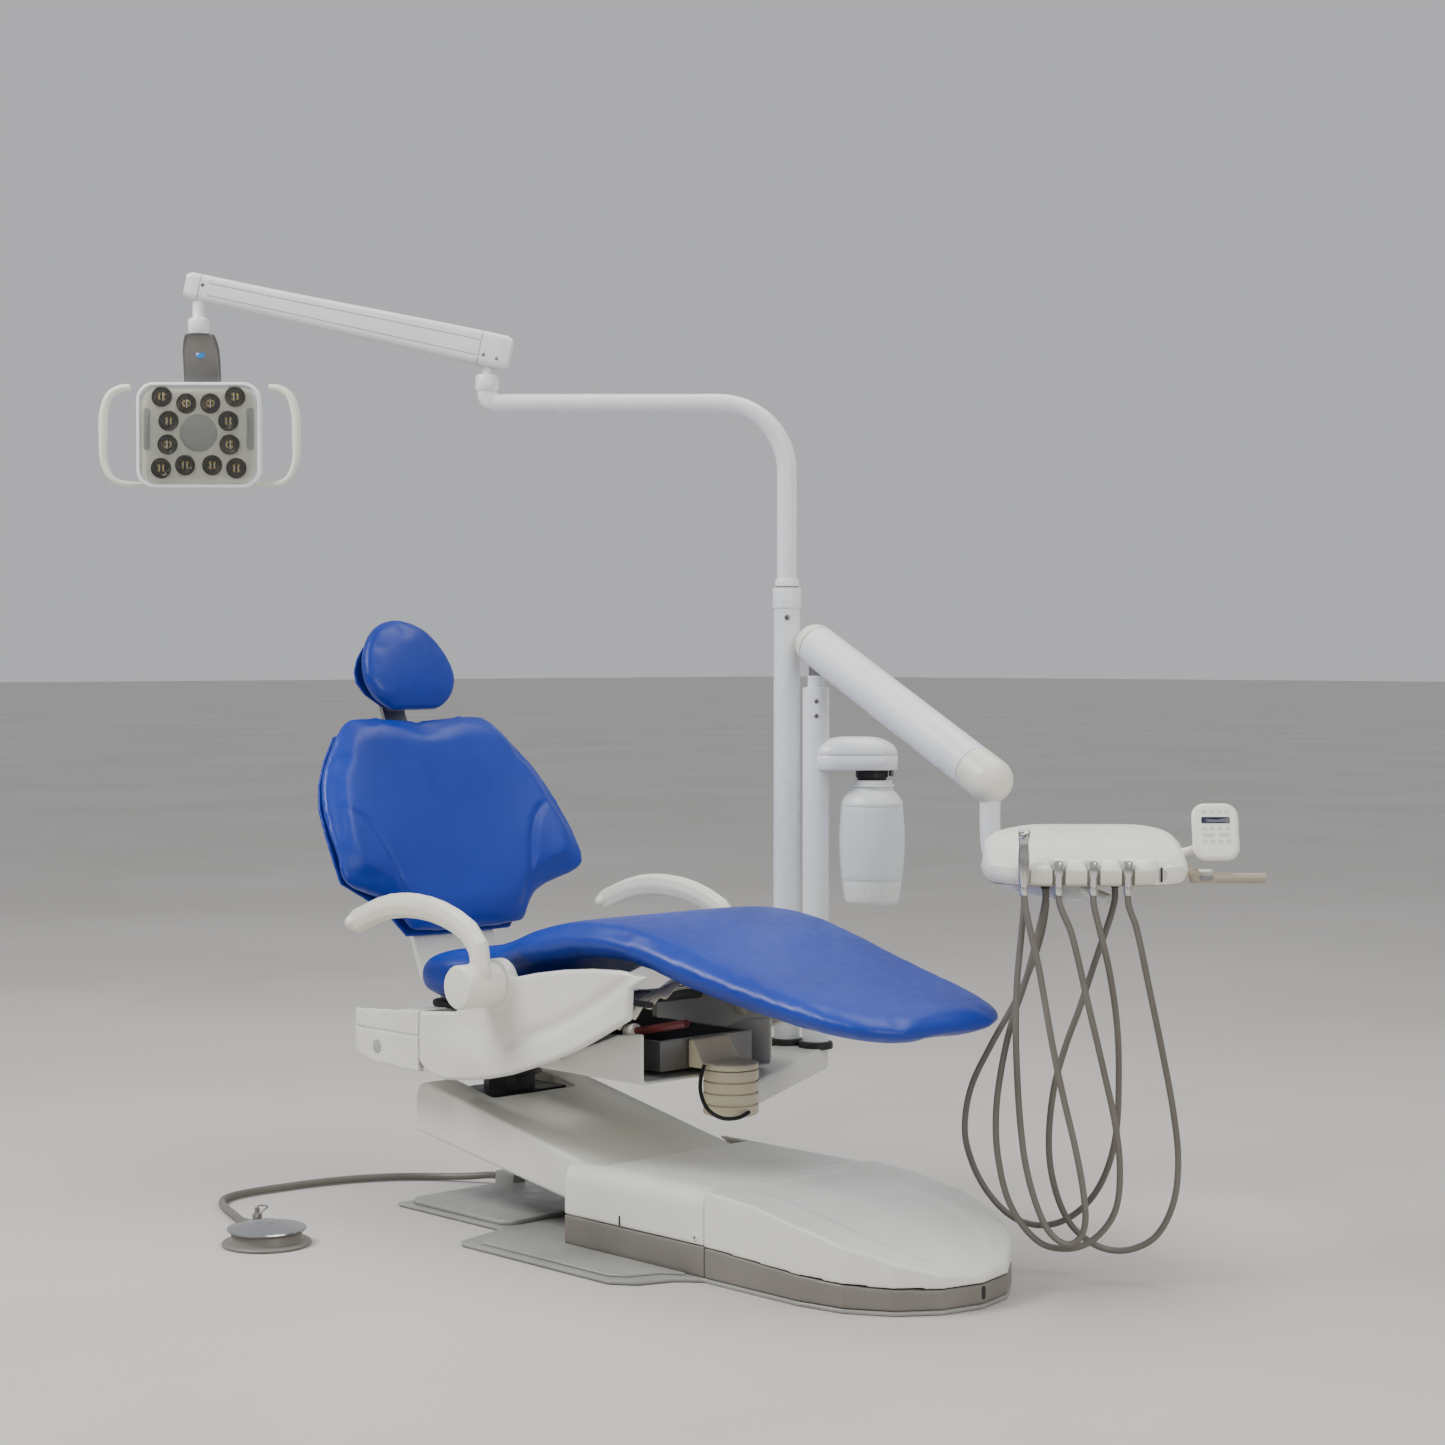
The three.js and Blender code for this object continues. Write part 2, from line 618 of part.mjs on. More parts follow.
const HEADREST_WIDTH = [[0, 66], [0.1, 92], [0.3, 114], [0.5, 112], [0.7, 96], [0.85, 74], [0.95, 50], [1, 26]];
const HEADREST = { u0: 566, u1: 752, w: -38, half: 34 };

function headrestPad(inset, w, half, rows, columns) {
  const { u0, u1 } = HEADREST;
  return pad(rows, columns, (s, t, side) => {
    const y = s * (reading(HEADREST_WIDTH, t) - inset);
    const round = half * (1 - 0.4 * Math.abs(2 * t - 1) ** 4) * (1 - 0.4 * Math.abs(s) ** 4);
    return [w + 8 * (2 * Math.abs(s) ** 2 - 1) + side * round, y, u0 + inset + (u1 - u0 - 2 * inset) * t];
  });
}

// ---------------------------------------------------------------- armrests
function armrest(sign) {
  const y = 308 * sign;
  const line = [
    [HUB.x, y, HUB.z],
    [-252, y, 506],
    [-276, y, 550],
    [-350, y, 582],
    [-440, y, 594],
    [-530, y, 586],
    [-628, y, 552],
  ];
  const blade = solid(sweep(line, ring(17, 24, 8), 12));
  const tip = solid(new THREE.SphereGeometry(1, 8, 6).scale(18, 24, 17).translate(-628, y, 552));
  const inner = (SIDE_FACE + 4 + GAP) * sign;
  const hub = barY(HUB.x, HUB.z, Math.min(inner, HUB.out * sign), Math.max(inner, HUB.out * sign), HUB.r, 20);
  return join(blade, tip, hub);
}

// ---------------------------------------------------------------- posts
function radiusArm() {
  const profile = [[0, 240]];
  for (let i = 0; i < 4; i += 1) {
    const z = 240 + 20.3 * i;
    profile.push([45, z], [49, z + 2], [49, z + 18.3]);
  }
  profile.push([0, 321.6]);
  const hub = turned(profile, ARM_AXIS.x, ARM_AXIS.y, 16);
  const dx = (LIGHT_POST.x + TRAY_POST.x) / 2 - ARM_AXIS.x;
  const dy = (LIGHT_POST.y + TRAY_POST.y) / 2 - ARM_AXIS.y;
  const length = Math.hypot(dx, dy);
  const beam = prism(roundedRect(0, length + 46, -36, 36, 20), 262, 298, 5);
  const turn = new THREE.Matrix4().makeRotationZ(Math.atan2(dy, dx));
  turn.setPosition(ARM_AXIS.x, ARM_AXIS.y, 0);
  const sockets = [LIGHT_POST, TRAY_POST].map((post) => barZ(post.x, post.y, 250, 299, 36, 20));
  return join(hub, beam.transform(turn.elements), ...sockets);
}

function lightPost() {
  const { x, y, r, z0, z1 } = LIGHT_POST;
  return turned([[0, z0], [r, z0], [r, 1137], [r + 2, 1139], [r + 2, z1 - 8], [r - 2, z1], [0, z1]], x, y, 20);
}

function trayPost() {
  const { x, y, r, z0, z1 } = TRAY_POST;
  const neck = 1010;
  return turned([[0, z0], [r, z0], [r, z1 - 3], [r - 3, z1], [16, z1], [16, neck], [0, neck]], x, y, 20);
}

function bottleDome() {
  const section = roundedRect(-6, 157, -46, 46, 42);
  const top = prism(section, 831, 894, 20, 2);
  const spout = barZ(107, 0, 813, 834, 31, 20);
  const turn = new THREE.Matrix4().makeRotationZ(TURN * RAD);
  turn.setPosition(TRAY_POST.x, TRAY_POST.y, 0);
  const body = cut(join(top, spout), barZ(0, 0, 800, 1000, TRAY_POST.r + GAP, 20));
  return body.transform(turn.elements);
}

function waterBottle() {
  const x = TRAY_POST.x + 107 * Math.cos(TURN * RAD);
  const y = TRAY_POST.y + 107 * Math.sin(TURN * RAD);
  const profile = [
    [0, 574], [50, 574], [55, 579], [57, 618], [59, 622], [62.5, 686], [60, 746], [56, 768], [46, 782], [40, 788],
    [40, 812.5], [0, 812.5],
  ];
  return turned(profile, x, y, 20);
}

// ---------------------------------------------------------------- light
function lightTube(base) {
  const { r, z, run, bend } = LIGHT_TUBE;
  const stub = 1588;
  const curve = new THREE.CurvePath();
  const points = [[0, 0, 1181]];
  for (let i = 0; i <= 6; i += 1) {
    const a = (i * Math.PI) / 12;
    points.push([-bend * (1 - Math.cos(a)), 0, z - bend + bend * Math.sin(a)]);
  }
  points.push([-run, 0, z]);
  for (let i = 1; i < points.length; i += 1) {
    curve.add(new THREE.LineCurve3(vector(points[i - 1]), vector(points[i])));
  }
  // Straight pieces meet in rounded corners: the section follows a dense line through the points.
  const dense = [];
  const lerp = (a, b, t) => a.map((value, k) => value + (b[k] - value) * t);
  dense.push(points[0], lerp(points[0], points[1], 0.5));
  for (let i = 1; i < points.length - 1; i += 1) dense.push(points[i]);
  dense.push(lerp(points[points.length - 2], points[points.length - 1], 0.5), points[points.length - 1]);
  const tube = solid(sweep(dense, ring(r, r, 12), 22));
  const elbow = solid(new THREE.SphereGeometry(r, 12, 8).translate(-run, 0, z));
  const riser = barZ(-run, 0, z, stub, r);
  const collar = barZ(0, 0, 1181, 1196, r + 4);
  const made = join(tube, elbow, riser, collar);
  return piece("light_tube", made, white, base);
}

function knuckle(r, z0, z1, eye, thick) {
  const stem = barZ(0, 0, z0, z1, r, 20);
  const blade = box(-eye, eye, -thick / 2, thick / 2, Math.min(z0, z1), z1);
  return join(stem, blade, barY(0, z1, -thick / 2, thick / 2, eye, 20));
}

function lightBeam() {
  const reach = BEAM.length / Math.cos(BEAM.rise * RAD);
  const side = [
    [48, -30], [48, 30], [42, 36], [-reach - 28, 26], [-reach - 38, 18], [-reach - 38, -18], [-reach - 30, -25], [42, -35],
  ];
  const body = slab(polygon(side), -BEAM.halfWidth, BEAM.halfWidth, 5);
  const right = box(-44, 44, -9, 9, -60, 22);
  const left = box(-reach - 60, -reach + 44, -9, 9, -60, 16);
  return cut(body, right, left);
}

function lightDrop() {
  const collar = barZ(0, 0, 1667, 1696, 21, 24);
  return join(knuckle(8.4, 1667, 1756, 8.4, 16.8), barZ(0, 0, 1690, 1716, 12.5, 20), collar);
}

function lightYoke() {
  const strip = (w) => {
    const outline = new THREE.Shape();
    outline.moveTo(-6, 1666.5);
    outline.lineTo(12, 1666.5);
    outline.quadraticCurveTo(34, 1640, 36, 1590);
    outline.lineTo(36, 1540);
    outline.lineTo(27, 1540);
    outline.lineTo(27, 1590);
    outline.quadraticCurveTo(24, 1634, -6, 1650);
    return slab(outline, -w, w, 2);
  };
  const turn = new THREE.Matrix4().makeRotationZ(Math.PI / 2);
  const slot = box(-15, 15, 0, 60, 1500, TILT_Z + 14);
  return cut(strip(36).transform(turn.elements), slot);
}

function lightHousing() {
  const { width, height } = LIGHT;
  const shape = roundedRect(-width / 2, width / 2, -height / 2, height / 2, 34);
  const body = slab(shape, -16, 22, 7);
  const tray = slab(roundedRect(-width / 2 + 9, width / 2 - 9, -height / 2 + 9, height / 2 - 9, 26), -30, -9, 0);
  const lug = box(-14, 14, 18, 40, TILT_Z - 9 - LIGHT.z, TILT_Z + 9 - LIGHT.z);
  return cut(join(body, lug), tray);
}

function lightLens() {
  const { width, height } = LIGHT;
  const shape = roundedRect(-width / 2 + 10, width / 2 - 10, -height / 2 + 10, height / 2 - 10, 25);
  return slab(shape, -18, -10, 2);
}

function lightHandles() {
  const half = [
    [50, 36, -84], [104, 36, -90], [142, 14, -92], [168, 2, -84], [184, 0, -52], [186, 0, 0], [184, 0, 46],
    [172, 0, 78], [150, 0, 91], [134, 0, 92],
  ];
  const left = half.map(([x, y, z]) => [-x, y, z]).reverse();
  return solid(sweep([...left, [0, 36, -83], ...half], ring(8, 11, 8), 32));
}

// ---------------------------------------------------------------- delivery unit
function flexArm(reach) {
  const body = solid(new THREE.CapsuleGeometry(FLEX.r, reach, 3, 16).rotateZ(Math.PI / 2).translate(reach / 2, 0, 0));
  const slots = [0, reach].map((x) => box(x - 50, x + 50, -12.5, 12.5, -60, 21));
  return cut(body, ...slots);
}

// Runs from the arm's end down and under the control head, in the head's own frame.
function flexNeck(top) {
  const line = [
    [top.x, top.y, 786],
    [top.x, top.y, 745],
    [top.x + 4, top.y - 3, 705],
    [top.x + 30, top.y - 27, 664],
    [top.x + 80, top.y - 80, 650],
    [-25, 0, 649],
  ];
  const tube = solid(sweep(line, ring(15, 15, 10), 12));
  const neck = barZ(top.x, top.y, 752, 790, 19.8, 20);
  const cup = barZ(-25, 0, 636, 664, 27, 24);
  const hinge = barZ(-25, 0, 650, 675.6, 16, 20);
  return { tube: join(tube, neck, cup, hinge) };
}

function headOutline(inset) {
  const { halfWidth, halfDepth } = HEAD;
  const shape = new THREE.Shape();
  const points = [];
  const steps = 28;
  for (let i = 0; i < steps; i += 1) {
    const a = (2 * Math.PI * i) / steps;
    const power = 0.62; // between an ellipse at 1 and a rectangle at 0
    const c = Math.cos(a);
    const s = Math.sin(a);
    const x = (halfWidth - inset) * Math.sign(c) * Math.abs(c) ** power;
    const y = (halfDepth - inset) * Math.sign(s) * Math.abs(s) ** power;
    points.push(new THREE.Vector2(x, y));
  }
  return shape.setFromPoints(points);
}

const HOLDERS = [-2, -1, 0, 1, 2].map((i) => i * HOLDER_STEP);
const HOLDER_Y = -HEAD.halfDepth + 8;
const HOLDER_R = 14;

// Where each hose leaves the underside of the head.
const HOSE_ENDS = [[-111, -92], [-73, -68], [-66, -20], [46, -46]];

function controlHead() {
  const { z0, zFront, zBack, halfDepth } = HEAD;
  const top = polygon([[-200, 0], [200, 0], [200, zBack], [-halfDepth, zFront], [-200, zFront - 18]]);
  const geometry = new THREE.ExtrudeGeometry(top, { depth: 500, bevelEnabled: false });
  const cap = solid(geometry.translate(0, 0, -250).rotateX(Math.PI / 2).rotateZ(Math.PI / 2));
  const slope = polygon([[-140, 0], [140, 0], [140, zBack], [90, zBack], [-140, zFront]]);
  const wedge = new THREE.ExtrudeGeometry(slope, { depth: 500, bevelEnabled: false });
  const under = solid(wedge.translate(0, 0, -250).rotateX(Math.PI / 2).rotateZ(Math.PI / 2));
  const body = prism(headOutline(0), z0, zBack + 20, 6).intersect(cap).intersect(under);
  const wells = HOLDERS.map((x) => barZ(x, HOLDER_Y, 600, 900, HOLDER_R, 12));
  const mouths = HOLDERS.map((x) => box(x - 10, x + 10, -200, HOLDER_Y, 600, 900));
  const barbs = HOSE_ENDS.map(([x, y]) => barZ(x, y, z0 - 14, z0 + 6, 8, 8));
  return join(cut(body, ...wells, ...mouths), ...barbs);
}

function headHandle() {
  const bar = solid(sweep([[176, -20, 692], [186, -24, 680], [215, -28, 676], [300, -30, 676]], ring(10, 15, 8), 8));
  const pocket = barZ(200, -26, 679.8, 720, 9.5);
  const clearHead = prism(headOutline(-1), 600, 900);
  return cut(join(bar, box(160, 190, -34, -8, 680, 700)), pocket, clearHead);
}

function brakeButton() {
  return barZ(200, -26, 683.4, 692.5, 8.6);
}

function touchpad() {
  const face = slab(roundedRect(-40, 40, -50, 50, 22), -9, 9, 4);
  const tilt = new THREE.Matrix4().makeRotationX(-18 * RAD);
  tilt.setPosition(218, -20, 752);
  const stalk = box(177, 200, -16, 0, 722, 736);
  const clearHead = prism(headOutline(-3), 600, 900);
  return cut(join(face.transform(tilt.elements), stalk), clearHead);
}

function syringe() {
  const grip = [[0, 668], [8, 668], [11, 676], [12.6, 700], [11, 742], [9, 748], [0, 748]];
  const handle = turned(grip, HOLDERS[0], HOLDER_Y, 12);
  const head = box(HOLDERS[0] - 9, HOLDERS[0] + 9, HOLDER_Y - 14, HOLDER_Y + 10, 744, 766);
  return join(handle, head);
}

function connector(x) {
  const profile = [[0, 668], [7.5, 668], [9, 684], [12, 690], [12, 712], [10.5, 716], [0, 716]];
  return turned(profile, x, HOLDER_Y, 12);
}

// Each hose: from under its holder, down, round and back up to its barb. Head frame.
const Y0 = HOLDER_Y;
const HOSES = [
  [
    [-114, Y0, 667.6], [-112, Y0, 640], [-104, -117, 600], [-89, -116, 535], [-66, -115, 407], [-48, -113, 323],
    [-26, -110, 231], [-12, -108, 152], [-12, -106, 100], [-34, -104, 75], [-66, -102, 92], [-90, -100, 140],
    [-108, -98, 208], [-117, -96, 280], [-122, -94, 361], [-124, -93, 434], [-122, -92, 510], [-115, -92, 590],
    [-111, -92, 636], [-111, -92, 661.6],
  ],
  [
    [-57, Y0, 667.6], [-55, Y0, 640], [-35, -114, 591], [-7, -108, 476], [21, -101, 361], [42, -94, 267],
    [50, -88, 190], [42, -84, 124], [8, -80, 78], [-35, -78, 62], [-84, -77, 74], [-130, -75, 134],
    [-151, -73, 215], [-154, -71, 290], [-144, -70, 369], [-127, -69, 443], [-104, -68, 512], [-84, -68, 590],
    [-73, -68, 640], [-73, -68, 661.6],
  ],
  [
    [0, Y0, 667.6], [1, Y0, 640], [11, -112, 600], [31, -96, 522], [47, -72, 430], [54, -44, 338],
    [54, -16, 244], [40, 6, 172], [12, 24, 118], [-28, 38, 84], [-70, 50, 74], [-112, 62, 86],
    [-150, 72, 122], [-178, 80, 172], [-192, 84, 231], [-182, 80, 305], [-150, 66, 379], [-112, 44, 455],
    [-90, 22, 510], [-73, -8, 575], [-66, -19, 625], [-66, -20, 661.6],
  ],
  [
    [57, Y0, 667.6], [58, Y0, 640], [72, -114, 600], [95, -104, 499], [119, -92, 392], [140, -78, 290],
    [150, -68, 208], [144, -60, 136], [118, -54, 80], [80, -50, 56], [40, -47, 53], [4, -46, 68],
    [-30, -46, 102], [-54, -46, 162], [-63, -46, 231], [-55, -46, 323], [-35, -46, 397], [-12, -46, 460],
    [16, -46, 545], [38, -46, 610], [46, -46, 642], [46, -46, 661.6],
  ],
];

// ---------------------------------------------------------------- assembly
piece("base_plate", basePlate(), grey);
piece("middle_skirt", middleSkirt(), grey);
piece("middle_cover", middleCover(), cream);
piece("toe_skirt", toeSkirt(), grey);
piece("toe_cover", toeCover(), cream);
piece("pump_unit", pumpUnit(), black);
piece("pivot_frame", pivotFrame(), steel);
piece("foot_base", footBase(), grey);
piece("foot_disc", footDisc(), chrome);
piece("foot_hose", solid(sweep(FOOT_HOSE, ring(FOOT_HOSE_D / 2, FOOT_HOSE_D / 2, 8), 36)), hoseGrey);

piece("lift_cover", liftCover(), cream);
piece("lift_frame", liftFrame(), steel);
piece("lift_link", liftLink(), steel);
piece("carriage", carriage(), steel);

piece("swivel_bearing", swivelBearing(), black);
piece("seat_frame", seatFrame(), steel);
piece("side_cover_right", sideCover(-1), cream);
piece("side_cover_left", sideCover(1), cream);
piece("rear_cover_lower", rearCover(270, 344, false), cream);
piece("rear_cover_upper", rearCover(344 + GAP, 395, true), cream);
piece("under_cover", underCover(), cream);
piece("seat_cushion", seatCushion(), blue);
piece("arm_bracket", armBracket(), beige);
piece("bracket_cable", solid(sweep(BRACKET_CABLE, ring(3.5, 3.5, 6), 12)), black);

// Local +X is the patient's side of the back and +Z runs up it.
const back = group(BACK_PIVOT.x, 0, BACK_PIVOT.z);
back.rotation.y = -(90 - BACK_ANGLE) * RAD;
piece("back_support", backSupport(), cream, back);
piece("back_shell", backShell(), black, back);
piece("back_cushion", backCushion(), blue, back);
piece("headrest_bar", headrestBar(), steel, back);
piece("headrest_shell", headrestPad(16, -84, 5, 6, 4), black, back);
piece("headrest_cushion", headrestPad(0, HEADREST.w, HEADREST.half, 8, 6), blue, back);
piece("armrest_right", armrest(-1), cream);
piece("armrest_left", armrest(1), cream);

piece("radius_arm", radiusArm(), beige);
piece("light_post", lightPost(), white);
piece("delivery_post", trayPost(), white);
piece("bottle_dome", bottleDome(), white);
piece("water_bottle", waterBottle(), clear);

const lightBase = group(LIGHT_POST.x, LIGHT_POST.y, 0);
lightBase.rotation.z = TURN * RAD;
lightTube(lightBase);
const beamBase = group(-LIGHT_TUBE.run, 0, 0, lightBase);
piece("beam_neck", knuckle(8.4, 1588 + GAP, BEAM.z, 8.4, 16.8), steel, beamBase);
const beamGroup = group(0, 0, BEAM.z, beamBase);
beamGroup.rotation.y = BEAM.rise * RAD;
piece("light_beam", lightBeam(), white, beamGroup);
const dropBase = group(-BEAM.length, 0, 0, beamBase);
piece("light_drop", lightDrop(), white, dropBase);
piece("light_yoke", lightYoke(), steel, dropBase);
const lightHead = group(0, 0, LIGHT.z, dropBase);
piece("light_housing", lightHousing(), white, lightHead);
piece("light_lens", lightLens(), clear, lightHead);
piece("light_handles", lightHandles(), cream, lightHead);

const flexPlan = Math.atan2(FLEX.y1 - FLEX.y0, FLEX.x1 - FLEX.x0);
const flexFlat = Math.hypot(FLEX.y1 - FLEX.y0, FLEX.x1 - FLEX.x0);
const flexReach = Math.hypot(flexFlat, FLEX.z1 - FLEX.z0);
const flexBase = group(FLEX.x0, FLEX.y0, 0);
flexBase.rotation.z = flexPlan;
piece("flex_knuckle", knuckle(11.8, 1010 + GAP, FLEX.z0, 11.8, 23.6), steel, flexBase);
const flexGroup = group(0, 0, FLEX.z0, flexBase);
flexGroup.rotation.y = Math.atan2(FLEX.z0 - FLEX.z1, flexFlat);
piece("flex_arm", flexArm(flexReach), white, flexGroup);

const head = group(HEAD.x, HEAD.y, 0);
head.rotation.z = TURN * RAD;
const neckTop = new THREE.Vector3(FLEX.x1 - HEAD.x, FLEX.y1 - HEAD.y, 0).applyAxisAngle(
  new THREE.Vector3(0, 0, 1),
  -TURN * RAD,
);
const eye = new THREE.Matrix4().makeRotationZ(flexPlan - TURN * RAD);
eye.setPosition(neckTop.x, neckTop.y, 0);
const neckEye = knuckle(11.8, 770, FLEX.z1, 11.8, 23.6).transform(eye.elements);
piece("flex_neck", join(flexNeck(neckTop).tube, neckEye), white, head);
piece("control_head", controlHead(), cream, head);
piece("head_handle", headHandle(), cream, head);
piece("brake_button", brakeButton(), beige, head);
piece("touchpad", touchpad(), white, head);
piece("syringe", syringe(), chrome, head);
[1, 2, 3].forEach((i) => piece("connector_" + (i + 1), connector(HOLDERS[i]), black, head));
HOSES.forEach((route, i) => {
  const tube = solid(sweep(route, ring(HOSE_D / 2, HOSE_D / 2, 8), 54));
  piece("hose_" + (i + 1), tube, hoseGrey, head);
});

export default chair;
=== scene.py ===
import math
import bmesh
import bpy
from mathutils import Matrix, Vector


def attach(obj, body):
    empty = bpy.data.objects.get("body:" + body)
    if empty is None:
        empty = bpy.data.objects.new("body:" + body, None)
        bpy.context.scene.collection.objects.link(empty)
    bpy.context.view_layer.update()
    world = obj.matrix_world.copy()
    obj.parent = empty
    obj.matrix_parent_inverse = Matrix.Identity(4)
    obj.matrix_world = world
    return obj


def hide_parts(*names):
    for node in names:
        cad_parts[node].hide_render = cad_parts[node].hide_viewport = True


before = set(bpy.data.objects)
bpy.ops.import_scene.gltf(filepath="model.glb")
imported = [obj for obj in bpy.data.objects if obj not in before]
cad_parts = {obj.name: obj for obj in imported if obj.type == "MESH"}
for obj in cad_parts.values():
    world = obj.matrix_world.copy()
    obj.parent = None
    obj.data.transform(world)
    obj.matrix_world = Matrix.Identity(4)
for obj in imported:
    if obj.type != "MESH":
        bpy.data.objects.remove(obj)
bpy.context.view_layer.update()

MM = 0.001  # shapes are drawn in millimetres and placed in metres
TURN = math.radians(46.4)  # how far the light, the tray and the camera stand turned from the seat
SCENE = bpy.context.scene

LIGHT_POST = (-196, 397)
DELIVERY_POST = (-129, 409)
SWIVEL = (-556, 0)
LIGHT_DROP = (-975.3, -421.3)
LEAN = math.radians(22)


def frame_at(x, y, z=0, turn=TURN):
    """A local frame at a world point in millimetres, turned about the vertical."""
    return Matrix.Translation(Vector((x, y, z)) * MM) @ Matrix.Rotation(turn, 4, "Z")


HEAD = frame_at(610, 300)
LIGHT = frame_at(*LIGHT_DROP, 1472)
TRAY_POST = frame_at(*DELIVERY_POST)
BOTTLE = frame_at(-55.2, 486.5)
FOOT = frame_at(-542, -567, turn=0)
# Columns: out of the back's front, across it, and up along it.
BACK = Matrix((
    (math.cos(LEAN), 0, -math.sin(LEAN), -0.610),
    (0, 1, 0, 0),
    (math.sin(LEAN), 0, math.cos(LEAN), 0.435),
    (0, 0, 0, 1),
))
WORLD = Matrix.Identity(4)

# ---------------------------------------------------------------- camera

camera = bpy.data.objects.new("camera", bpy.data.cameras.new("camera"))
CAMERA_PITCH = math.radians(1.448)  # below level
camera.location = (3.448, -3.2445, 1.05)
camera.rotation_euler = (math.pi / 2 - CAMERA_PITCH, 0, TURN)
camera.data.lens = 66.52
camera.data.sensor_width = 36
SCENE.collection.objects.link(camera)
SCENE.camera = camera

# ---------------------------------------------------------------- materials


def srgb(r, g, b):
    """0 to 255 display values as linear light."""
    def one(v):
        v /= 255
        return v / 12.92 if v <= 0.04045 else ((v + 0.055) / 1.055) ** 2.4
    return (one(r), one(g), one(b), 1)


def noise_node(tree, coords, scale, detail=3):
    """A cloudy value over the piece, finer for a larger scale."""
    made = tree.nodes.new("ShaderNodeTexNoise")
    made.inputs["Scale"].default_value = scale
    made.inputs["Detail"].default_value = detail
    tree.links.new(coords, made.inputs["Vector"])
    return made.outputs["Fac"]


def ramp(tree, value, stops):
    """A colour for a value, through (position, colour) stops."""
    made = tree.nodes.new("ShaderNodeValToRGB")
    cells = made.color_ramp.elements
    while len(cells) < len(stops):
        cells.new(0.5)
    for cell, (at, colour) in zip(cells, stops):
        cell.position = at
        cell.color = colour
    tree.links.new(value, made.inputs["Fac"])
    return made.outputs["Color"]


def bumped(tree, height, strength, distance, before=None):
    """A surface normal with a height added to it, on top of the bumps before it."""
    made = tree.nodes.new("ShaderNodeBump")
    made.inputs["Strength"].default_value = strength
    made.inputs["Distance"].default_value = distance
    tree.links.new(height, made.inputs["Height"])
    if before:
        tree.links.new(before, made.inputs["Normal"])
    return made.outputs["Normal"]


def finish(name, dark, light, rough=(0.32, 0.42), grain=650, bump=0.08, depth=0.0004, cloud=5,
           metallic=0.0, waves=0.0, rings=0.0, specular=0.5, transmission=0.0, subsurface=0.0,
           scuff=0.25):
    """A procedural surface: cloudy colour, uneven gloss, fine grain and a few faint scuffs."""
    made = bpy.data.materials.new(name)
    made.use_nodes = True
    tree = made.node_tree
    shader = tree.nodes["Principled BSDF"]
    coords = tree.nodes.new("ShaderNodeTexCoord").outputs["Object"]
    clouds = noise_node(tree, coords, cloud)
    colour = ramp(tree, clouds, [(0.35, dark), (0.65, light)])
    marks = noise_node(tree, coords, cloud * 14, 6)
    worn = tuple(c * 0.8 for c in dark[:3]) + (1,)
    mix = tree.nodes.new("ShaderNodeMix")
    mix.data_type = "RGBA"
    mask = ramp(tree, marks, [(0.64, (0, 0, 0, 1)), (0.8, (scuff, scuff, scuff, 1))])
    tree.links.new(mask, mix.inputs["Factor"])
    tree.links.new(colour, mix.inputs["A"])
    mix.inputs["B"].default_value = worn
    tree.links.new(mix.outputs["Result"], shader.inputs["Base Color"])
    gloss = tree.nodes.new("ShaderNodeMapRange")
    gloss.inputs["From Min"].default_value = 0.3
    gloss.inputs["From Max"].default_value = 0.7
    gloss.inputs["To Min"].default_value = rough[0]
    gloss.inputs["To Max"].default_value = rough[1]
    tree.links.new(noise_node(tree, coords, cloud * 9, 4), gloss.inputs["Value"])
    tree.links.new(gloss.outputs["Result"], shader.inputs["Roughness"])
    normal = bumped(tree, noise_node(tree, coords, grain, 2), bump, depth)
    if waves:
        normal = bumped(tree, noise_node(tree, coords, 11, 2), waves, 0.003, normal)
    if rings:
        turned = tree.nodes.new("ShaderNodeTexWave")
        turned.wave_type = "RINGS"
        turned.rings_direction = "Z"
        turned.inputs["Scale"].default_value = rings
        turned.inputs["Distortion"].default_value = 0.4
        tree.links.new(coords, turned.inputs["Vector"])
        normal = bumped(tree, turned.outputs["Fac"], 0.12, 0.0003, normal)
    tree.links.new(normal, shader.inputs["Normal"])
    shader.inputs["Metallic"].default_value = metallic
    shader.inputs["Specular IOR Level"].default_value = specular
    shader.inputs["Transmission Weight"].default_value = transmission
    shader.inputs["Subsurface Weight"].default_value = subsurface
    shader.inputs["Subsurface Scale"].default_value = 0.01
    return made


VINYL = finish("royal_blue_vinyl", srgb(13, 46, 146), srgb(18, 55, 162), (0.34, 0.44), 800, 0.2,
               0.0005, 4, waves=0.12, scuff=0.1, specular=0.4)
CREAM = finish("cream_moulded_cover", srgb(222, 221, 211), srgb(230, 229, 220), (0.3, 0.4), scuff=0.1)
WARM = finish("warm_head_shell", srgb(228, 227, 216), srgb(236, 235, 226), (0.24, 0.34), scuff=0.08)
WHITE = finish("white_powder_coat", srgb(226, 229, 231), srgb(233, 236, 238), (0.24, 0.34), 900,
               0.04, scuff=0.06)
DOME = finish("white_gloss_plastic", srgb(228, 231, 233), srgb(236, 239, 240), (0.16, 0.26),
              scuff=0.05)
SKIRT = finish("grey_skirt_plastic", srgb(112, 107, 100), srgb(124, 119, 112), (0.35, 0.5), 500, 0.2)
WING = finish("grey_plate_finish", srgb(140, 140, 135), srgb(156, 156, 151), (0.3, 0.45), 500, 0.2)
HOSE = finish("grey_silicone_tube", srgb(100, 95, 88), srgb(114, 109, 102), (0.35, 0.5), 400, 0.15,
              scuff=0.15)
BEIGE = finish("beige_ring_paint", srgb(198, 188, 158), srgb(208, 198, 169), (0.35, 0.45), 500, 0.1)
PAD = finish("holder_pad_plastic", srgb(158, 148, 128), srgb(168, 159, 140), (0.4, 0.5), 600, 0.15)
LID_PAD = finish("pale_pad_plastic", srgb(206, 202, 188), srgb(214, 210, 197), (0.35, 0.45), 600, 0.12)
